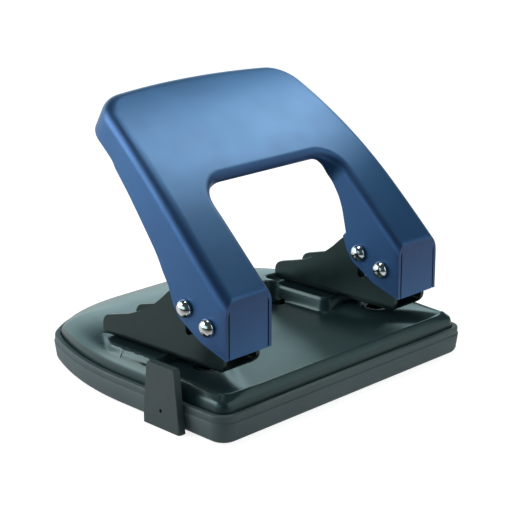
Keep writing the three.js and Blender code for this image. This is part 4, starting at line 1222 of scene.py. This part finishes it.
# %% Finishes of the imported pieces
packed_finish = {"guide_strap": ground_steel, "guide_cradle": ground_steel}
for side, _ in SIDES:
    packed_finish[f"cutter_{side}"] = ground_steel
    packed_finish[f"spring_washer_{side}"] = zinc_steel
for name, material in packed_finish.items():
    nodes[name].data.materials.clear()
    nodes[name].data.materials.append(material)
print("packed pieces with a finish:", len(packed_finish))

# %% [markdown]
# ## The ground
# The photograph has a plain white ground. A white floor alone would need far too much light, so the
# floor adds a glow that only the camera and reflections see. The rest of it is a plain pale surface
# that still takes the punch's shadow.
#
# The studio is bright behind the punch and dark on the camera's side: the chrome domes are white to
# the left and black to the right, and the front walls are near black. So for reflections the floor
# fades to dark from 3 to 20 cm towards the camera. AWAY is the direction away from the camera.

# %% Floor
AWAY = (0.72, 0.69, 0.0)
FLOOR_HALF = 3000
floor = piece("floor", [(x, y, 0) for x, y in oblong(-FLOOR_HALF, -FLOOR_HALF, FLOOR_HALF, FLOOR_HALF)],
              [(0, 1, 2, 3)])
floor_white, tree, shader, place = new_material("matt_white_paper")
shader.inputs["Roughness"].default_value = 0.9
shader.inputs["Specular IOR Level"].default_value = 0.0
fibre = add_node(tree, "ShaderNodeTexNoise", {"Vector": place, "Scale": per_mm(2), "Detail": 2.0})
tone = add_node(tree, "ShaderNodeMix", {"Factor": fibre.outputs["Fac"], 6: paint("bcbcbc"),
                                        7: paint("bfbfbf")}, data_type="RGBA")
rays = add_node(tree, "ShaderNodeLightPath")
reach = add_node(tree, "ShaderNodeVectorMath", {0: place, 1: AWAY}, operation="DOT_PRODUCT")
lit = add_node(tree, "ShaderNodeMapRange", {"Value": reach.outputs["Value"], "From Min": -0.2,
                                            "From Max": -0.03})
dim = add_node(tree, "ShaderNodeMath", {0: 1.0, 1: lit.outputs[0]}, operation="SUBTRACT")
dim = add_node(tree, "ShaderNodeMath", {0: dim.outputs[0], 1: rays.outputs["Is Glossy Ray"]},
               operation="MULTIPLY")
ground = add_node(tree, "ShaderNodeMix", {"Factor": dim.outputs[0], 6: tone.outputs[2], 7: paint("2a2a2a")},
                  data_type="RGBA")
tree.links.new(ground.outputs[2], shader.inputs["Base Color"])
mirrored = add_node(tree, "ShaderNodeMath", {0: rays.outputs["Is Glossy Ray"], 1: 0.4}, operation="MULTIPLY")
glow = add_node(tree, "ShaderNodeMath", {0: rays.outputs["Is Camera Ray"], 1: 0.85, 2: mirrored.outputs[0]},
                operation="MULTIPLY_ADD")
glow = add_node(tree, "ShaderNodeMath", {0: glow.outputs[0], 1: dim.outputs[0]}, operation="SUBTRACT",
                use_clamp=True)
shader.inputs["Emission Color"].default_value = (1, 1, 1, 1)
tree.links.new(glow.outputs[0], shader.inputs["Emission Strength"])
floor.data.materials.append(floor_white)
floor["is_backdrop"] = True
print("floor is", 2 * FLOOR_HALF * MM, "m wide")

# %% [markdown]
# ## The room
# The world is what reflections show of the room. Behind the punch, in the direction BEHIND, it is
# white up to between 20 and 30 degrees above the desk. Above that and in front it is dark, as a room
# is outside the lit sweep of paper. The camera sees plain white, and everything else gets a weak even
# light from it.

# %% World
BEHIND = (-0.25, 0.97, 0.0)
world = bpy.data.worlds.new("studio")
bpy.context.scene.world = world
world.use_nodes = True
tree = world.node_tree
sky = tree.nodes["Background"]
rays = add_node(tree, "ShaderNodeLightPath")
heading = add_node(tree, "ShaderNodeTexCoord").outputs["Generated"]
side_of = add_node(tree, "ShaderNodeVectorMath", {0: heading, 1: BEHIND}, operation="DOT_PRODUCT")
sweep = add_node(tree, "ShaderNodeMapRange", {"Value": side_of.outputs["Value"], "From Min": -0.3,
                                              "From Max": 0.3}, interpolation_type="SMOOTHSTEP")
height_of = add_node(tree, "ShaderNodeSeparateXYZ", {0: heading})
band = add_node(tree, "ShaderNodeMapRange", {"Value": height_of.outputs[2], "From Min": 0.34, "From Max": 0.5,
                                             "To Min": 1.0, "To Max": 0.0}, interpolation_type="SMOOTHSTEP")
paper = add_node(tree, "ShaderNodeMath", {0: sweep.outputs[0], 1: band.outputs[0]}, operation="MULTIPLY")
room = add_node(tree, "ShaderNodeMapRange", {"Value": paper.outputs[0], "To Min": 0.06, "To Max": 1.4})
soft = add_node(tree, "ShaderNodeMix", {"Factor": rays.outputs["Is Glossy Ray"], "A": 0.25,
                                        "B": room.outputs[0]})
strength = add_node(tree, "ShaderNodeMix", {"Factor": rays.outputs["Is Camera Ray"], "A": soft.outputs[0],
                                            "B": 1.0})
tint = add_node(tree, "ShaderNodeMix", {"Factor": rays.outputs["Is Glossy Ray"], 6: (1, 1, 1, 1),
                                        7: paint("d8fbff")}, data_type="RGBA")
tree.links.new(tint.outputs[2], sky.inputs["Color"])
tree.links.new(strength.outputs[0], sky.inputs["Strength"])
print("world:", len(tree.nodes), "nodes")

# %% [markdown]
# ## Light
# Three soft boxes light the punch, because a soft box draws broad, soft-edged highlights on enamel. The
# main one stands high at the rear left, and the blue of the lever falls off from there. A large,
# faintly cyan one fills from the front right. A small strip just above the lever makes its rear left
# the palest place.

# %% Lamps


def soft_box(name, place, target, size, watts, colour=(1, 1, 1)):
    """A rectangular lamp at a place, turned towards its target. Places and sizes are in metres."""
    lamp = bpy.data.objects.new(name, bpy.data.lights.new(name, "AREA"))
    lamp.data.shape = "RECTANGLE"
    lamp.data.size, lamp.data.size_y = size
    lamp.data.energy = watts
    lamp.data.color = colour
    lamp.location = place
    lamp.rotation_euler = (Vector(target) - Vector(place)).to_track_quat("-Z", "Y").to_euler()
    bpy.context.scene.collection.objects.link(lamp)


soft_box("near_box", (0.01, 0.03, 0.17), (-0.06, 0.03, 0.06), (0.05, 0.2), 0.13, (0.96, 1.0, 0.86))
soft_box("main_box", (-0.6, 0.6, 0.4), (0, 0.03, 0.05), (0.6, 0.6), 4.6)
soft_box("fill_box", (0.45, -0.95, 0.33), (0, 0.03, 0.04), (1.1, 1.1), 4.4, (0.86, 1.0, 1.0))
bpy.context.scene.view_settings.view_transform = "Standard"

# %% [markdown]
# ## Size
# The box of the imported model and the box of all that is shown are printed one under the other. Nothing
# that was added may reach outside the imported model.

# %% Sizes
visual_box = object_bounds()
boxes = {"cad": [list(map(float, c)) for c in cad_box], "visual": [list(map(float, c)) for c in visual_box]}
for name, (low_corner, high_corner) in boxes.items():
    print(name, [round(c * 1000, 2) for c in low_corner], [round(c * 1000, 2) for c in high_corner])
